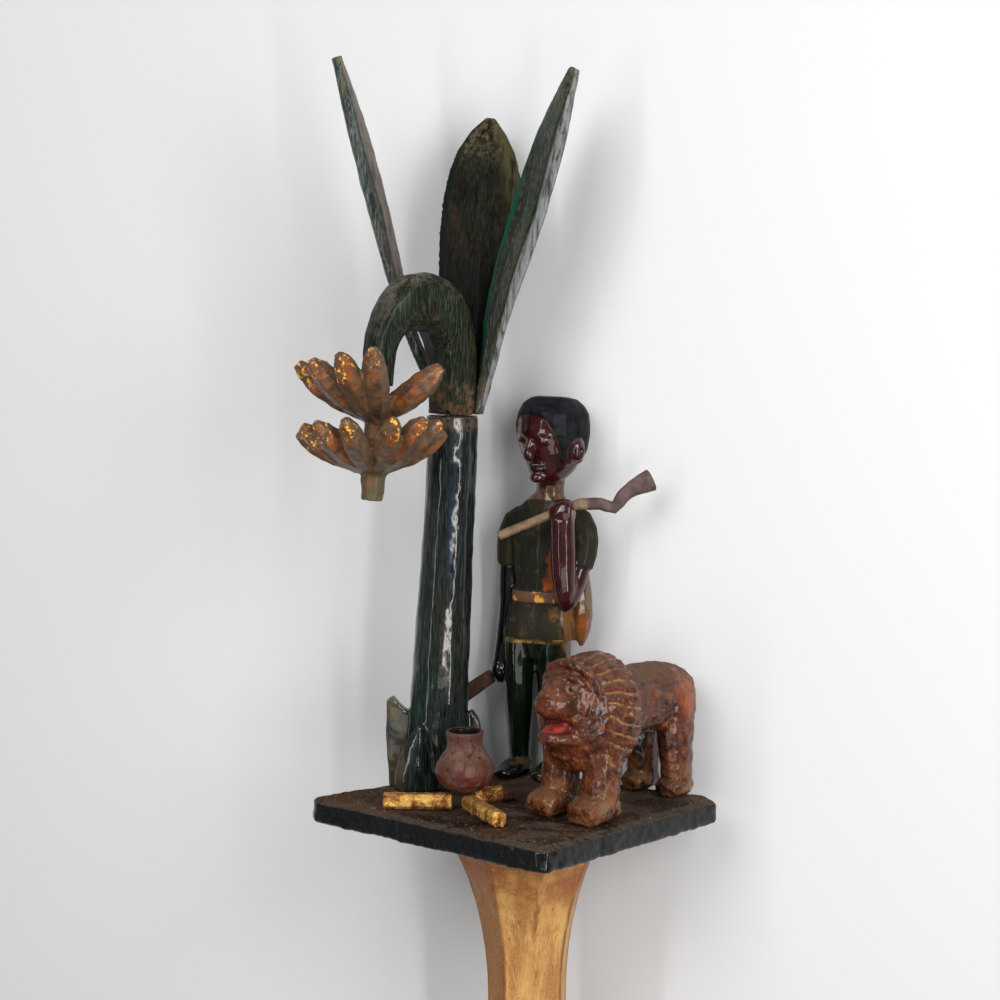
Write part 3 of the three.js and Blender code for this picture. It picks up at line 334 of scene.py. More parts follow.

# The slab
# An uneven board sawn with four sides and cut corners, its upper edge worn to a slope. It is
# painted green-black, glossy and blistered on the sides with small painted glints, and brown
# with dust on top.


def fine_skin(piece, grain, soft):
    """Gives the piece an even fine skin, a grain of so many millimetres, and softens its edges"""
    skin = piece.modifiers.new("skin", "REMESH")
    skin.mode = "VOXEL"
    skin.voxel_size = grain / 1000
    skin.use_smooth_shade = True
    ease = piece.modifiers.new("ease", "SMOOTH")
    ease.factor = 0.5
    ease.iterations = soft
    settled(piece)


def uneven(piece, kind, size, depth):
    """Moves the skin in and out by so many millimetres, in patches of a size"""
    pattern = bpy.data.textures.new(piece.name + "_" + kind.lower(), kind)
    pattern.noise_scale = size / 1000
    push = piece.modifiers.new("uneven", "DISPLACE")
    push.texture = pattern
    push.texture_coords = "LOCAL"
    push.strength = depth / 1000
    push.mid_level = 0.5
    settled(piece)


def note_hollows(piece, reach):
    """Notes how many millimetres each point lies in a hollow, or less than 0 on a ridge"""
    ease = piece.modifiers.new("ease", "SMOOTH")
    ease.factor = 0.5
    ease.iterations = reach
    eased = piece.evaluated_get(bpy.context.evaluated_depsgraph_get()).to_mesh()
    count = len(piece.data.vertices) * 3
    now, soft, way = np.empty(count), np.empty(count), np.empty(count)
    piece.data.vertices.foreach_get("co", now)
    eased.vertices.foreach_get("co", soft)
    piece.data.vertex_normals.foreach_get("vector", way)
    piece.modifiers.remove(ease)
    note(piece, "hollow", ((soft - now) * way).reshape(-1, 3).sum(1) * 1000)


up_way = tuple(staff_up)
slab = carved_copy("slab", "painted_slab")
fine_skin(slab, 1.05, 4)
uneven(slab, "CLOUDS", 16, 1.3)
uneven(slab, "VORONOI", 4.5, 0.8)
note_hollows(slab, 14)
where = stood(slab)
note(slab, "bevel", between(-3.4, -1.6, where[:, 2]) * (1 - between(-0.9, -0.3, where[:, 2])))
note(slab, "front", between(-14, -34, where[:, 1]))

board = Paint("slab_paint", 0.5, varnish=0.35, varnish_roughness=0.17)
dusty = board.facing(up_way, 0.5, 0.85)
sides = board.over(seen(6, 9, 9), seen(13, 16, 17), board.patches(7, 0.45, 0.7))
sides = board.over(sides, seen(22, 26, 30), board.patches(18, 0.6, 0.74, seed=5.0))
# Small grey-blue flecks on the sides are painted glints.
sides = board.over(sides, seen(37, 44, 49), board.patches(1.5, 0.56, 0.68, seed=11.0))
sides = board.over(sides, seen(120, 96, 58), board.patches(2.0, 0.7, 0.74, seed=1.0))
top = board.over(seen(86, 71, 60), seen(54, 42, 35), board.patches(26, 0.4, 0.62, (1, 1.6, 1), seed=2.0))
top = board.over(
    top, seen(36, 24, 18), board.noted("front"), board.patches(9, 0.46, 0.6, (1, 3, 1), seed=7.0))
top = board.over(top, seen(80, 52, 38), board.patches(60, 0.52, 0.68, seed=7.0))
top = board.over(top, seen(112, 96, 82), board.patches(1.8, 0.54, 0.7))
top = board.over(top, seen(74, 66, 59), board.noted("bevel", 0.2, 0.9), board.patches(5, 0.3, 0.6))
colour = board.over(sides, top, dusty)
colour = board.over(
    colour, seen(78, 74, 68), board.noted("hollow", -0.26, -0.6), board.patches(3, 0.54, 0.66))
board.set("Base Color", colour)
board.set("Roughness", board.range(dusty, 0, 1, 0.6, 0.85))
board.set("Coat Weight", board.range(dusty, 0, 1, 0.6, 0.0))
board.relief((board.patches(2.6, 0.3, 0.7), 0.8), (board.patches(0.9, 0.3, 0.7), 0.16))
hand_in(slab, "slab", board)

# The tree's trunk
# One carved stem with three cut leaf bases at its foot, painted dark green, varnished, and
# worn to grey and brown in long upright streaks. A crust of old filling sits at its top.


def green_paint(name, dark, worn, bare, scratch, fresh, gloss, varnish, seed):
    """Old green paint with upright streaks of wear, for the tree"""
    green = Paint(name, gloss, varnish=varnish, varnish_roughness=0.13)
    coat = green.over(dark, worn, green.patches(5, 0.42, 0.66, (9, 1, 1), seed=seed))
    coat = green.over(coat, bare, green.patches(17, 0.52, 0.7, (3, 1, 1), seed=seed + 4))
    coat = green.over(coat, scratch, green.patches(1.3, 0.6, 0.74, (16, 1, 1), seed=seed + 2))
    coat = green.over(coat, fresh, green.patches(24, 0.56, 0.7, (2, 1, 1), seed=seed + 9))
    coat = green.over(
        coat, scratch, green.patches(0.7, 0.46, 0.66, (16, 1, 1), detail=3, seed=seed + 12), 0.55)
    coat = green.over(coat, dark, green.patches(0.9, 0.54, 0.66, (8, 1, 1), detail=3, seed=seed + 15))
    coat = green.over(coat, seen(84, 72, 56), green.noted("hollow", 0.08, 0.4), green.patches(5, 0.35, 0.6))
    coat = green.over(coat, scratch, green.noted("hollow", -0.16, -0.5), green.patches(3, 0.5, 0.62))
    green.set(
        "Roughness",
        green.range(green.patches(7, 0.34, 0.68, (6, 1, 1), seed=seed + 6), 0, 1, gloss - 0.1, gloss + 0.22))
    green.relief(
        (green.patches(0.9, 0.3, 0.7, (26, 1, 1), seed=seed), 0.24),
        (green.patches(1.8, 0.3, 0.7, (2, 1, 1), seed=seed), 0.14))
    return green, coat


trunk = carved_copy("tree_trunk", "tree_trunk_carving")
fine_skin(trunk, 0.8, 5)
uneven(trunk, "VORONOI", 12, 0.6)
uneven(trunk, "CLOUDS", 5, 0.3)
where = stood(trunk)
crust = between(167, 172, where[:, 2] + 1.6 * np.sin(where[:, 0] * 0.9))
note(trunk, "crust", crust)
from_streak = where[:, 0] + 35.5 - (where[:, 2] - 130) * 0.03
streak = np.exp(-(from_streak / 1.4) ** 2) * between(24, 20, where[:, 1])
note(trunk, "blue_streak", streak * between(96, 112, where[:, 2]) * between(160, 150, where[:, 2]))
left_stump = between(-55, -58, where[:, 0] + where[:, 2] * 0.03)
right_stump = between(-26, -24, where[:, 0]) * between(60, 50, where[:, 2])
note(trunk, "stumps", left_stump + right_stump)
note_hollows(trunk, 16)
trunk_green, coat = green_paint(
    "trunk_paint", seen(7, 15, 13), seen(20, 29, 27), seen(36, 27, 18), seen(58, 70, 66), seen(12, 40, 32),
    0.45, 0.75, 1.0)
coat = trunk_green.over(
    coat, trunk_green.over(seen(14, 24, 26), seen(27, 41, 58), trunk_green.patches(5, 0.4, 0.6)),
    trunk_green.noted("blue_streak", 0.2, 0.9))
coat = trunk_green.over(
    coat, seen(72, 64, 48), trunk_green.noted("stumps"), trunk_green.patches(12, 0.3, 0.6, seed=4.0))
coat = trunk_green.over(
    coat, seen(82, 66, 50), trunk_green.noted("crust"), trunk_green.patches(4, 0.36, 0.56))
trunk_green.set("Base Color", coat)
hand_in(trunk, "tree_trunk", trunk_green)

# The fruit stalk
# It rises from the trunk's top, bends over forward to the left and carries the bunch. It is
# squarish in section, with one flat broad face to the front, under the same green paint.

arch = carved_copy("fruit_stalk", "fruit_stalk_carving")
fine_skin(arch, 0.7, 4)
uneven(arch, "VORONOI", 8, 0.3)
uneven(arch, "CLOUDS", 4, 0.3)
note_hollows(arch, 14)
where = stood(arch)
note(arch, "foot", between(196, 184, where[:, 2]) * between(-50, -44, where[:, 0]))
arch_green, coat = green_paint(
    "stalk_paint", seen(16, 23, 16), seen(34, 41, 31), seen(56, 42, 28), seen(74, 76, 62), seen(20, 40, 29),
    0.55, 0.12, 11.0)
coat = arch_green.over(
    coat, seen(92, 86, 76), arch_green.facing(up_way, 0.2, 0.8), arch_green.patches(6, 0.36, 0.6))
coat = arch_green.over(coat, seen(92, 70, 50), arch_green.noted("foot"), arch_green.patches(5, 0.4, 0.6))
arch_green.set("Base Color", coat)
hand_in(arch, "fruit_stalk", arch_green)

# The leaves
# Three thin blades with a raised rib, set into the trunk's top behind the stalk. Their faces
# are scraped lengthways and the tips are worn. Their left edges carry painted highlights. The
# left and right leaves have a pale band of painted light right of the fold and a dark line of
# painted shade along the fold; on the back leaf the pale band is worn paint.


def share_across(where, rung):
    """How far across a blade its points lie, 0 at its left edge and 1 at its right edge"""
    rungs = np.round(where[:, 2] / rung).astype(int)
    left, right = np.full(rungs.max() + 1, 999.0), np.full(rungs.max() + 1, -999.0)
    np.minimum.at(left, rungs, where[:, 0])
    np.maximum.at(right, rungs, where[:, 0])
    levels = np.arange(rungs.min(), rungs.max() + 1)
    left, right = (np.interp(where[:, 2] / rung, levels, edge[levels]) for edge in (left, right))
    return (where[:, 0] - left) / (right - left)


for node, seed, varnish, band, dark, worn, bare, scratch, fresh, rim_paint_and_highlight, pale_light_and_wear in (
    ("leaf_left", 21.0, 0.22, (0.6, 0.7),
     seen(34, 42, 38), seen(78, 84, 80), seen(66, 58, 50), seen(124, 130, 126),
     seen(36, 54, 47), seen(104, 116, 112), seen(112, 100, 94)),
    ("leaf_back", 31.0, 0.02, (0.62, 0.98),
     seen(11, 12, 9), seen(28, 26, 19), seen(50, 35, 22), seen(50, 48, 36),
     seen(20, 26, 18), seen(22, 28, 22), seen(74, 70, 46)),
    ("leaf_right", 41.0, 0.16, (0.62, 0.7),
     seen(38, 44, 37), seen(60, 63, 54), seen(72, 60, 44), seen(98, 100, 92),
     seen(26, 50, 40), seen(20, 86, 70), seen(122, 124, 124)),
):
    blade = carved_copy(node, node + "_carving")
    fine_skin(blade, 0.6, 2)
    uneven(blade, "VORONOI", 9, 0.4)
    uneven(blade, "CLOUDS", 5, 0.25)
    note_hollows(blade, 12)
    where = stood(blade)
    highest = where[:, 2].max()
    note(blade, "tip", between(highest - 30, highest - 6, where[:, 2]))
    note(blade, "foot", between(200, 182, where[:, 2]))
    across = share_across(where, 4) + 0.03 * np.sin(where[:, 2] * 0.11)
    note(blade, "left_rim_paint_and_highlight", between(0.16, 0.05, across))
    note(blade, "right_band_light_and_wear", between(*band, across))
    note(blade, "fold_shade", np.exp(-((across - band[0]) / 0.035) ** 2) * (node != "leaf_back"))
    note(blade, "shade", between(268, 222, where[:, 2]) * (node == "leaf_back"))
    blade_green, coat = green_paint(node + "_paint", dark, worn, bare, scratch, fresh, 0.6, varnish, seed)
    coat = blade_green.over(
        coat, seen(84, 80, 60), blade_green.noted("tip"), blade_green.patches(2.6, 0.4, 0.66))
    coat = blade_green.over(
        coat, seen(86, 70, 52), blade_green.noted("foot"), blade_green.patches(5, 0.4, 0.6))
    # The pale band on the right of each blade is painted light on the left and right leaves and worn paint
    # on the back leaf.
    coat = blade_green.over(
        coat, pale_light_and_wear, blade_green.noted("right_band_light_and_wear"), blade_green.patches(2.4, 0.34, 0.56, (14, 1, 1)))
    # A dark line of painted shade along the fold.
    coat = blade_green.over(coat, seen(20, 24, 20), blade_green.noted("fold_shade", 0.3, 1.2))
    coat = blade_green.over(coat, seen(7, 8, 6), blade_green.noted("shade"))
    # The left edges are painted paler: painted highlights, over teal paint on the right leaf.
    coat = blade_green.over(
        coat, rim_paint_and_highlight, blade_green.noted("left_rim_paint_and_highlight"), blade_green.patches(9, 0.3, 0.55, (2, 1, 1)))
    blade_green.set("Base Color", coat)
    hand_in(blade, node, blade_green)

# The bunch of plantains
# Two hands of fruit and the cut end of the stem, carved from one block. The gold leaf on it
# is glazed brown-orange, bright gold with painted glints on the fruits' tips, and dull with
# dust in between.

viewer_way = tuple(-back_way)
bunch = carved_copy("plantain_bunch", "plantain_bunch_carving")
fine_skin(bunch, 0.54, 2)
uneven(bunch, "VORONOI", 5, 0.8)
note_hollows(bunch, 22)
where = stood(bunch)
stem = np.array((-67.7, 3.4))
reach = np.hypot(where[:, 0] - stem[0], where[:, 1] - stem[1])
note(bunch, "tips_gold_and_glints", between(27, 33, reach))
note(bunch, "cut_end", between(158, 152, where[:, 2]) * between(12, 9, reach))
fruit = Paint("fruit_glaze", 0.4, metal=0.1, varnish=0.4, varnish_roughness=0.18)
glaze = fruit.over(seen(96, 74, 56), seen(78, 60, 48), fruit.patches(6, 0.38, 0.64))
fronts = fruit.both(fruit.facing(viewer_way, 0.5, 0.95), fruit.patches(6, 0.42, 0.62, seed=9.0))
glaze = fruit.over(glaze, seen(134, 74, 36), fronts)
glaze = fruit.over(glaze, seen(112, 86, 62), fruit.patches(3, 0.52, 0.68, seed=3.0))
dust = fruit.either(
    fruit.noted("hollow", 0.02, 0.5),
    fruit.both(fruit.facing(viewer_way, 0.8, 0.2), fruit.patches(7, 0.3, 0.54)))
glaze = fruit.over(glaze, seen(104, 86, 70), dust)
# Bright gold spots on the tips: the gold leaf showing through, and painted glints.
glaze = fruit.over(
    glaze, seen(246, 176, 66), fruit.noted("tips_gold_and_glints", 0.3, 0.9), fruit.patches(2.2, 0.56, 0.61, seed=6.0))
glaze = fruit.over(glaze, seen(84, 78, 58), fruit.noted("cut_end"), fruit.patches(6, 0.3, 0.5))
fruit.set("Base Color", glaze)
fruit.set("Roughness", fruit.range(dust, 0, 1, 0.26, 0.72))
fruit.relief((fruit.patches(1.6, 0.3, 0.7), 0.16), (fruit.patches(0.7, 0.3, 0.7), 0.06))
hand_in(bunch, "plantain_bunch", fruit)

# The hunter
# One carved man in a tunic with a belt, trousers and a bag, under dark paint and thick glossy
# varnish: black hair, red-brown skin, green-black cloth with gold at the belt and the hem. The
# far arm is painted near black for shade.


def seen_from(middle, turn, x, y):
    """Places in plan as they lie from a middle, after a turn"""
    off_x, off_y = x - middle[0], y - middle[1]
    return off_x * math.cos(turn) - off_y * math.sin(turn), off_x * math.sin(turn) + off_y * math.cos(turn)


hunter = carved_copy("hunter", "hunter_carving")
fine_skin(hunter, 0.64, 6)
uneven(hunter, "VORONOI", 9, 0.35)
note_hollows(hunter, 16)
where = stood(hunter)
hunter_place = (4.8, 50)
hunter_turn = math.radians(20)
man_x, man_y = seen_from(hunter_place, hunter_turn, where[:, 0], where[:, 1])
man_z = where[:, 2]
man = np.stack((man_x, man_y, man_z), 1)


def near_limb(joints):
    """How far the points are outside a limb, given as joints with a place and a radius"""
    least = np.full(len(man), 99.0)
    for (start, first), (end, last) in zip(joints, joints[1:]):
        start, run = np.array(start), np.array(end) - np.array(start)
        share = np.clip(((man - start) @ run) / (run @ run), 0, 1)
        gap = np.linalg.norm(man - start - share[:, None] * run, axis=1)
        least = np.minimum(least, gap - (first + (last - first) * share))
    return least


head_middle = (7.6, 1)
head_turn = math.radians(22)
head_x, head_y = seen_from(head_middle, head_turn, man_x, man_y)
head_y += head_middle[1]
opening = (np.abs(head_x) / 12.4) ** 3 + (np.abs(man_z - 158.6) / 17.0) ** 3
from_ear = np.sqrt((np.abs(head_x) - 15.6) ** 2 + (head_y - 1.5) ** 2 * 0.9 + ((man_z - 158) * 0.85) ** 2)
ear = between(6.4, 5.4, from_ear)
face = between(1.06, 0.98, opening) * between(0.5, -0.5, head_y)
hair = between(151.5, 152.3, man_z) * (1 - face) * (1 - ear)
left_arm = near_limb([
    ((20.6, -14.6, 84), 6), ((19.2, -16.6, 105), 6.9), ((18.9, -17, 118), 6.8), ((19, -17.5, 131), 8.4)])
left_cuff = between(102.6, 103.4, man_z + (man_y + 5.8) * 0.2)
left_elbow = near_limb([((24.4, -3.4, 103), 5.8), ((20.6, -14.6, 86), 5.4)]) + 9 * left_cuff
right_cuff = between(102.2, 103, man_z)
right_arm = near_limb([
    ((-13.9, 0.9, 103), 6.2), ((-13.9, 0.6, 92), 5.9), ((-14.6, -1, 75), 5.2), ((-16.4, -2.4, 62), 4.9),
    ((-17.3, -3, 50), 6.8)]) + 9 * right_cuff
arms = between(1.0, 0.4, np.minimum(np.minimum(left_arm, left_elbow), right_arm))
neck = between(133.6, 134.6, man_z + man_y * 0.16) * between(11.4, 10.4, np.hypot(man_x - 6, man_y))
neck = np.maximum(neck, between(141, 142, man_z))
skin = np.clip(np.maximum(arms, neck * (1 - hair)), 0, 1)
bag = between(14.6, 17.0, man_x + 0.8 * np.sin(man_z * 0.5)) * between(-9.5, -8, man_y)
bag = bag * between(104, 101, man_z) * (1 - arms)
belt = between(86.0, 86.8, man_z) * between(91.8, 91.0, man_z) * (1 - arms) * (1 - bag)
hem = between(66.2, 66.8, man_z) * between(69.0, 68.3, man_z) * (1 - arms) * (1 - bag)
ragged = 0.7 * np.sin(man_z * 0.6) + 0.4 * np.sin(man_z * 1.3 + 1)
wedge = between(1.25, 0.7, np.abs(man_x - 10.8 + ragged) / np.maximum((118 - man_z) * 0.17, 0.2))
wedge = wedge * between(91.4, 92.4, man_z) * between(117, 114, man_z) * between(-3, -5, man_y) * (1 - arms)
satin = (1 - skin) * (1 - hair) * between(66, 67, man_z) * (1 - bag) * 0.8
hip = between(8, 13, man_x) * between(74, 78, man_z) * between(86, 83, man_z) * between(0, -4, man_y)
for name, values in (
    ("hair", hair), ("skin", skin), ("bag", bag), ("belt", belt), ("hem", hem), ("wedge", wedge),
    ("wedge_foot", wedge * between(98, 93, man_z)), ("feet", between(11, 7, man_z)),
    ("trousers", between(66.6, 66, man_z)), ("far_arm_shade", between(1.0, 0.4, right_arm)),
    ("neck", neck * (1 - hair) * between(143, 141, man_z)), ("satin", satin), ("hip", hip * (1 - arms)),
):
    note(hunter, name, values)

body = Paint("hunter_varnish", 0.3, varnish=0.85, varnish_roughness=0.09)
cloth = body.over(seen(30, 33, 26), seen(44, 40, 31), body.patches(12, 0.4, 0.64, (2, 1, 1)))
cloth = body.over(cloth, seen(70, 54, 34), body.patches(5, 0.56, 0.72, seed=3.0))
trousers = body.over(seen(16, 25, 17), seen(58, 40, 24), body.patches(16, 0.5, 0.66, (3, 1, 1), seed=6.0))
cloth = body.over(cloth, trousers, body.noted("trousers"))
cloth = body.over(
    cloth, body.over(seen(84, 50, 30), seen(112, 62, 30), body.patches(7, 0.4, 0.6, seed=2.0)),
    body.noted("wedge"))
cloth = body.over(cloth, seen(150, 72, 30), body.noted("wedge_foot"), body.patches(5, 0.36, 0.5))
rubbed = body.both(body.noted("hip"), body.patches(3.2, 0.4, 0.6, seed=12.0))
cloth = body.over(cloth, seen(98, 74, 46), rubbed)
satchel = body.over(seen(92, 68, 40), seen(122, 70, 40), body.patches(10, 0.4, 0.62, (2, 1, 1)))
cloth = body.over(cloth, satchel, body.noted("bag"), body.patches(9, 0.2, 0.5, seed=9.0))
cloth = body.over(
    cloth, body.over(seen(92, 66, 54), seen(206, 140, 62), body.patches(7, 0.56, 0.62, seed=1.0)),
    body.noted("belt"))
cloth = body.over(
    cloth, body.over(seen(70, 60, 42), seen(168, 124, 70), body.patches(4, 0.44, 0.62)), body.noted("hem"))
flesh = body.over(seen(54, 17, 19), seen(31, 13, 14), body.patches(8, 0.42, 0.66))
# The far arm is painted near black: painted shade.
flesh = body.over(flesh, seen(14, 12, 14), body.noted("far_arm_shade"))
flesh = body.over(
    flesh, body.over(seen(50, 30, 28), seen(88, 62, 46), body.patches(5, 0.4, 0.6)), body.noted("neck"))
cloth = body.over(cloth, flesh, body.noted("skin"))
cloth = body.over(
    cloth, body.over(seen(12, 13, 16), seen(28, 31, 35), body.patches(6, 0.4, 0.66)), body.noted("hair"))
dust = body.both(body.noted("hollow", 0.12, 0.5), body.patches(2.5, 0.36, 0.54))
dust = body.either(dust, body.both(body.noted("feet"), body.patches(6, 0.44, 0.62)))
cloth = body.over(cloth, seen(84, 68, 50), dust)
dull = body.either(body.either(dust, body.noted("hair")), body.either(rubbed, body.noted("satin")))
body.set("Base Color", cloth)
body.set("Roughness", body.range(dull, 0, 1, 0.26, 0.6))
body.set("Coat Weight", body.range(dull, 0, 1, 0.85, 0.04))
body.relief((body.patches(3, 0.3, 0.7, (3, 1, 1)), 0.12), (body.patches(0.9, 0.3, 0.7), 0.035))
hand_in(hunter, "hunter", body)

# The gun
# A round barrel and a cranked stock in one carved length, pushed through the hunter's fist.
# The barrel is pale bare-looking brown with a pale mouth, the stock dull purple-brown.

gun = carved_copy("gun", "gun_carving")
fine_skin(gun, 0.4, 4)
uneven(gun, "VORONOI", 5, 0.3)
where = stood(gun)
note(gun, "stock", between(27.2, 29.2, where[:, 0]))
note(gun, "mouth", between(-13.0, -13.6, where[:, 0] + (where[:, 2] - 119.7) * 0.4))
steel = Paint("gun_paint", 0.55, varnish=0.15, varnish_roughness=0.3)
tone = steel.over(seen(120, 100, 80), seen(92, 76, 60), steel.patches(6, 0.4, 0.66))
tone = steel.over(tone, seen(176, 152, 118), steel.noted("mouth"))
stock = steel.over(seen(92, 76, 74), seen(70, 54, 52), steel.patches(7, 0.4, 0.66))
tone = steel.over(tone, stock, steel.noted("stock"))
steel.set("Base Color", tone)
steel.relief((steel.patches(1.4, 0.3, 0.7), 0.12), (steel.patches(0.6, 0.3, 0.7), 0.05))
hand_in(gun, "gun", steel)

# The long knife
# A flat blade and grip of one piece, held low in the right hand and pointing down behind the
# trunk. It is dull dark brown with a rubbed edge.

knife = carved_copy("long_knife", "long_knife_carving")
fine_skin(knife, 0.4, 3)
uneven(knife, "CLOUDS", 6, 0.3)
note_hollows(knife, 10)
iron = Paint("knife_paint", 0.5, varnish=0.25, varnish_roughness=0.25)
tone = iron.over(seen(62, 44, 38), seen(88, 64, 52), iron.patches(7, 0.4, 0.64))
tone = iron.over(tone, seen(120, 92, 72), iron.noted("hollow", -0.1, -0.35))
iron.set("Base Color", tone)
iron.relief((iron.patches(1.6, 0.3, 0.7), 0.12), (iron.patches(0.6, 0.3, 0.7), 0.04))
hand_in(knife, "long_knife", iron)

# The lion
# One carved block: the mane's locks are cut in rays round the open-mouthed face. Red-brown
# glaze over gold leaf, thick and glossy, with dull gold in the cuts and grey dust on its back.
# The orange on its flank is partly its paint and partly painted light, and its underside is
# painted dark for shade.

lion = carved_copy("lion", "lion_carving")
fine_skin(lion, 0.62, 8)
where = stood(lion)
lion_nose = (12.3, -36.6)
lion_turn = math.radians(-47.8)
back, side = seen_from(lion_nose, lion_turn, where[:, 0], where[:, 1])
high = where[:, 2]
axis_level = np.interp(back, (7, 12, 19, 27, 33.5), (52, 50.4, 47.8, 45.4, 45))
angle = np.degrees(np.arctan2(high - axis_level, side))
spread = np.hypot(high - axis_level, side)
first_lock, last_lock, locks = -60, 240, 21
lock = (last_lock - first_lock) / locks
wave = 1.6 * np.sin(spread * 0.55 + angle * 0.05) + 0.8 * np.sin(spread * 1.3 + angle * 0.11)
from_cut = np.abs((angle + wave - first_lock + lock / 2) % lock - lock / 2)
cut_gap = np.radians(from_cut) * spread
in_mane = between(11.4, 12.6, back) * between(36, 34, back) * between(15, 18, spread) * between(
    14, 20, high)
cuts = np.exp(-((cut_gap / 0.9) ** 2)) * in_mane
half_gap = np.radians(lock / 2 - from_cut) * spread
fine_cuts = np.exp(-((half_gap / 0.4) ** 2)) * in_mane * between(22, 25, spread) * between(24, 20, back)
normals = np.empty(len(where) * 3)
lion.data.vertex_normals.foreach_get("vector", normals)
places = np.empty(len(where) * 3)
lion.data.vertices.foreach_get("co", places)
deep = (cuts * 0.45 + fine_cuts * 0.25) / 1000
lion.data.vertices.foreach_set("co", places - normals * np.repeat(deep, 3))
lion.data.update()
uneven(lion, "VORONOI", 5, 1.0)
uneven(lion, "CLOUDS", 2.6, 0.6)
note_hollows(lion, 14)
note(lion, "cuts", np.maximum(cuts, fine_cuts * 0.7))
mouth = between(9, 8, np.abs(side)) * between(5, 3, back) * between(40.4, 41.2, high)
note(lion, "mouth", mouth * between(47.4, 46.8, high))
tongue = between(5.4, 4.6, np.abs(side)) * between(4, 3, back) * between(41.2, 41.8, high)
note(lion, "tongue", tongue * between(45.4, 44.8, high))
note(lion, "flank_orange_and_light", np.exp(-(((back - 76) / 8) ** 2 + ((high - 48) / 13) ** 2)) * between(-3, -7, side))
under = between(40, 30, high) * between(30, 38, back) * between(72, 66, back)
note(lion, "under", under * between(11, 7, np.abs(side)))
note(lion, "top_dust", between(30, 38, back))
note(lion, "legs", between(22, 8, high))
eye_side, eye_high = np.abs(side) - 7.6, high - 60.6
note(lion, "eyes", between(3.0, 2.2, np.sqrt((back - 1.8) ** 2 + eye_side ** 2 + (eye_high * 1.3) ** 2)))
note(lion, "pupils", between(1.3, 0.9, np.sqrt((back - 0.4) ** 2 + eye_side ** 2 + eye_high ** 2)))
hide = Paint("lion_glaze", 0.4, metal=0.08, varnish=0.5, varnish_roughness=0.2)
coat = hide.over(seen(92, 46, 27), seen(56, 29, 20), hide.patches(9, 0.38, 0.64))
coat = hide.over(coat, seen(116, 62, 34), hide.patches(4, 0.5, 0.66, seed=2.0))
coat = hide.over(coat, seen(122, 88, 56), hide.patches(2.0, 0.58, 0.7, seed=6.0))
# Orange on the flank: partly the lion's paint, partly a painted pool of light.
coat = hide.over(
    coat, seen(148, 74, 32), hide.noted("flank_orange_and_light", 0.2, 0.9), hide.patches(10, 0.3, 0.56, seed=4.0))
# Dark under the belly and between the legs: painted shade.
coat = hide.over(coat, seen(34, 24, 18), hide.noted("under"), hide.patches(12, 0.2, 0.4, seed=8.0))
coat = hide.over(coat, seen(118, 80, 50), hide.noted("legs"), hide.patches(9, 0.4, 0.6, seed=5.0))
on_top = hide.both(hide.facing(up_way, 0.2, 0.8), hide.range(hide.noted("top_dust"), 0, 1, 0.35, 1.0))
dust = hide.either(hide.both(on_top, hide.patches(7, 0.26, 0.5)), hide.noted("hollow", 0.16, 0.55))
coat = hide.over(coat, seen(98, 72, 56), dust)
coat = hide.over(coat, seen(138, 104, 64), hide.noted("cuts", 0.4, 0.9), hide.patches(2.2, 0.38, 0.58))
coat = hide.over(coat, seen(84, 30, 26), hide.noted("mouth"))
coat = hide.over(
    coat, hide.over(seen(156, 54, 52), seen(112, 54, 46), hide.patches(3, 0.4, 0.6)), hide.noted("tongue"))
coat = hide.over(coat, seen(104, 76, 50), hide.noted("eyes"))
coat = hide.over(coat, seen(58, 40, 30), hide.noted("pupils"))
hide.set("Base Color", coat)
hide.set("Roughness", hide.range(dust, 0, 1, 0.26, 0.66))
hide.set("Coat Weight", hide.range(dust, 0, 1, 0.6, 0.1))
hide.relief((hide.patches(2.0, 0.3, 0.7), 0.5), (hide.patches(0.8, 0.3, 0.7), 0.14))
hand_in(lion, "lion", hide)

# The cooking pot
# A small round-bellied pot with a thin wall and an open mouth, turned in the hand. It is
# mauve-brown with dust above and red-brown where the dust is rubbed off below. Its inside is
# painted near black for shade.

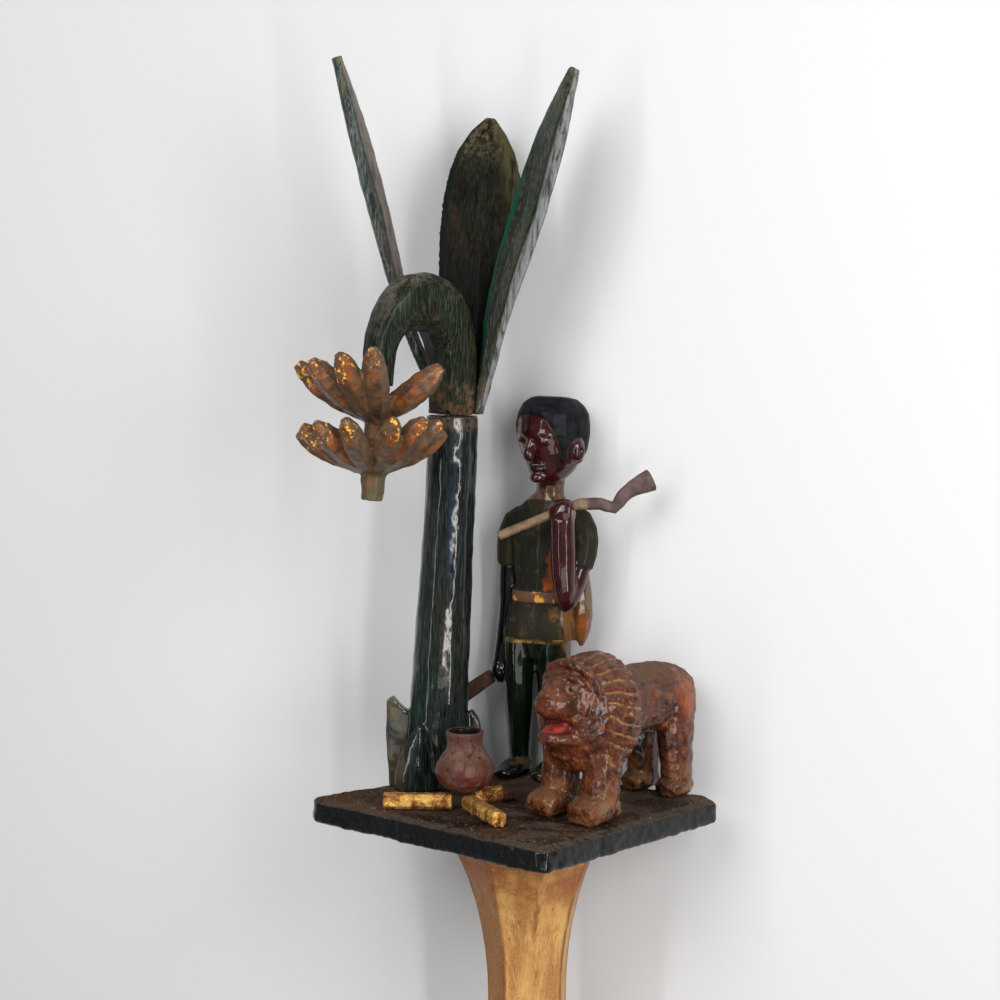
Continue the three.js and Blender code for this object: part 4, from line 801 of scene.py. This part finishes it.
pot = carved_copy("cooking_pot", "cooking_pot_carving")
fine_skin(pot, 0.55, 8)
uneven(pot, "CLOUDS", 7, 0.5)
where = stood(pot)
note(pot, "low", between(27, 12, where[:, 2]))
pot_middle = (-28.5, -11.5)
from_axis = np.hypot(where[:, 0] - pot_middle[0], where[:, 1] - pot_middle[1])
note(pot, "inside", between(7.5, 7.0, from_axis) * between(12, 13, where[:, 2]))
clay = Paint("pot_paint", 0.6, varnish=0.2, varnish_roughness=0.25)
tone = clay.over(seen(80, 54, 47), seen(100, 74, 62), clay.patches(7, 0.4, 0.64))
rubbed = clay.both(clay.noted("low"), clay.patches(5, 0.4, 0.56, seed=3.0))
tone = clay.over(tone, seen(84, 36, 32), rubbed)
tone = clay.over(tone, seen(52, 34, 30), clay.patches(2.4, 0.56, 0.68, seed=6.0))
# The inside of the mouth is painted near black: painted shade.
tone = clay.over(tone, seen(20, 15, 14), clay.noted("inside"))
clay.set("Base Color", tone)
clay.set("Roughness", clay.range(rubbed, 0, 1, 0.68, 0.3))
clay.relief((clay.patches(2, 0.3, 0.7), 0.2), (clay.patches(0.7, 0.3, 0.7), 0.06))
hand_in(pot, "cooking_pot", clay)

# The firewood
# Three short split logs that meet under the pot, covered with bright gold leaf with brown
# stains. The far half of the right one is painted dark for the shade it lies in.

for node, seed in (("firewood_log_left", 51.0), ("firewood_log_front", 61.0), ("firewood_log_right", 71.0)):
    log = carved_copy(node, node + "_carving")
    fine_skin(log, 0.4, 3)
    uneven(log, "VORONOI", 4, 0.5)
    where = stood(log)
    note(log, "far_end_shade", between(-13, -10.5, where[:, 0]) * (node == "firewood_log_right"))
    bright = Paint(node + "_gold", 0.3, metal=0.75)
    tone = bright.over(seen(216, 168, 92), seen(156, 104, 52), bright.patches(5, 0.4, 0.64, seed=seed))
    tone = bright.over(tone, seen(110, 66, 32), bright.patches(7, 0.5, 0.64, (2, 1, 1), seed=seed + 3))
    tone = bright.over(tone, seen(246, 206, 120), bright.patches(2.4, 0.6, 0.7, seed=seed + 5))
    # The far half of the right log is painted dark: painted shade.
    tone = bright.over(tone, seen(74, 46, 34), bright.noted("far_end_shade"))
    bright.set("Base Color", tone)
    bright.set("Roughness", bright.range(bright.patches(3, 0.3, 0.7, seed=seed), 0, 1, 0.24, 0.5))
    bright.relief(
        (bright.patches(1.6, 0.3, 0.7, seed=seed), 0.3), (bright.patches(0.6, 0.3, 0.7, seed=seed), 0.08))
    hand_in(log, node, bright)
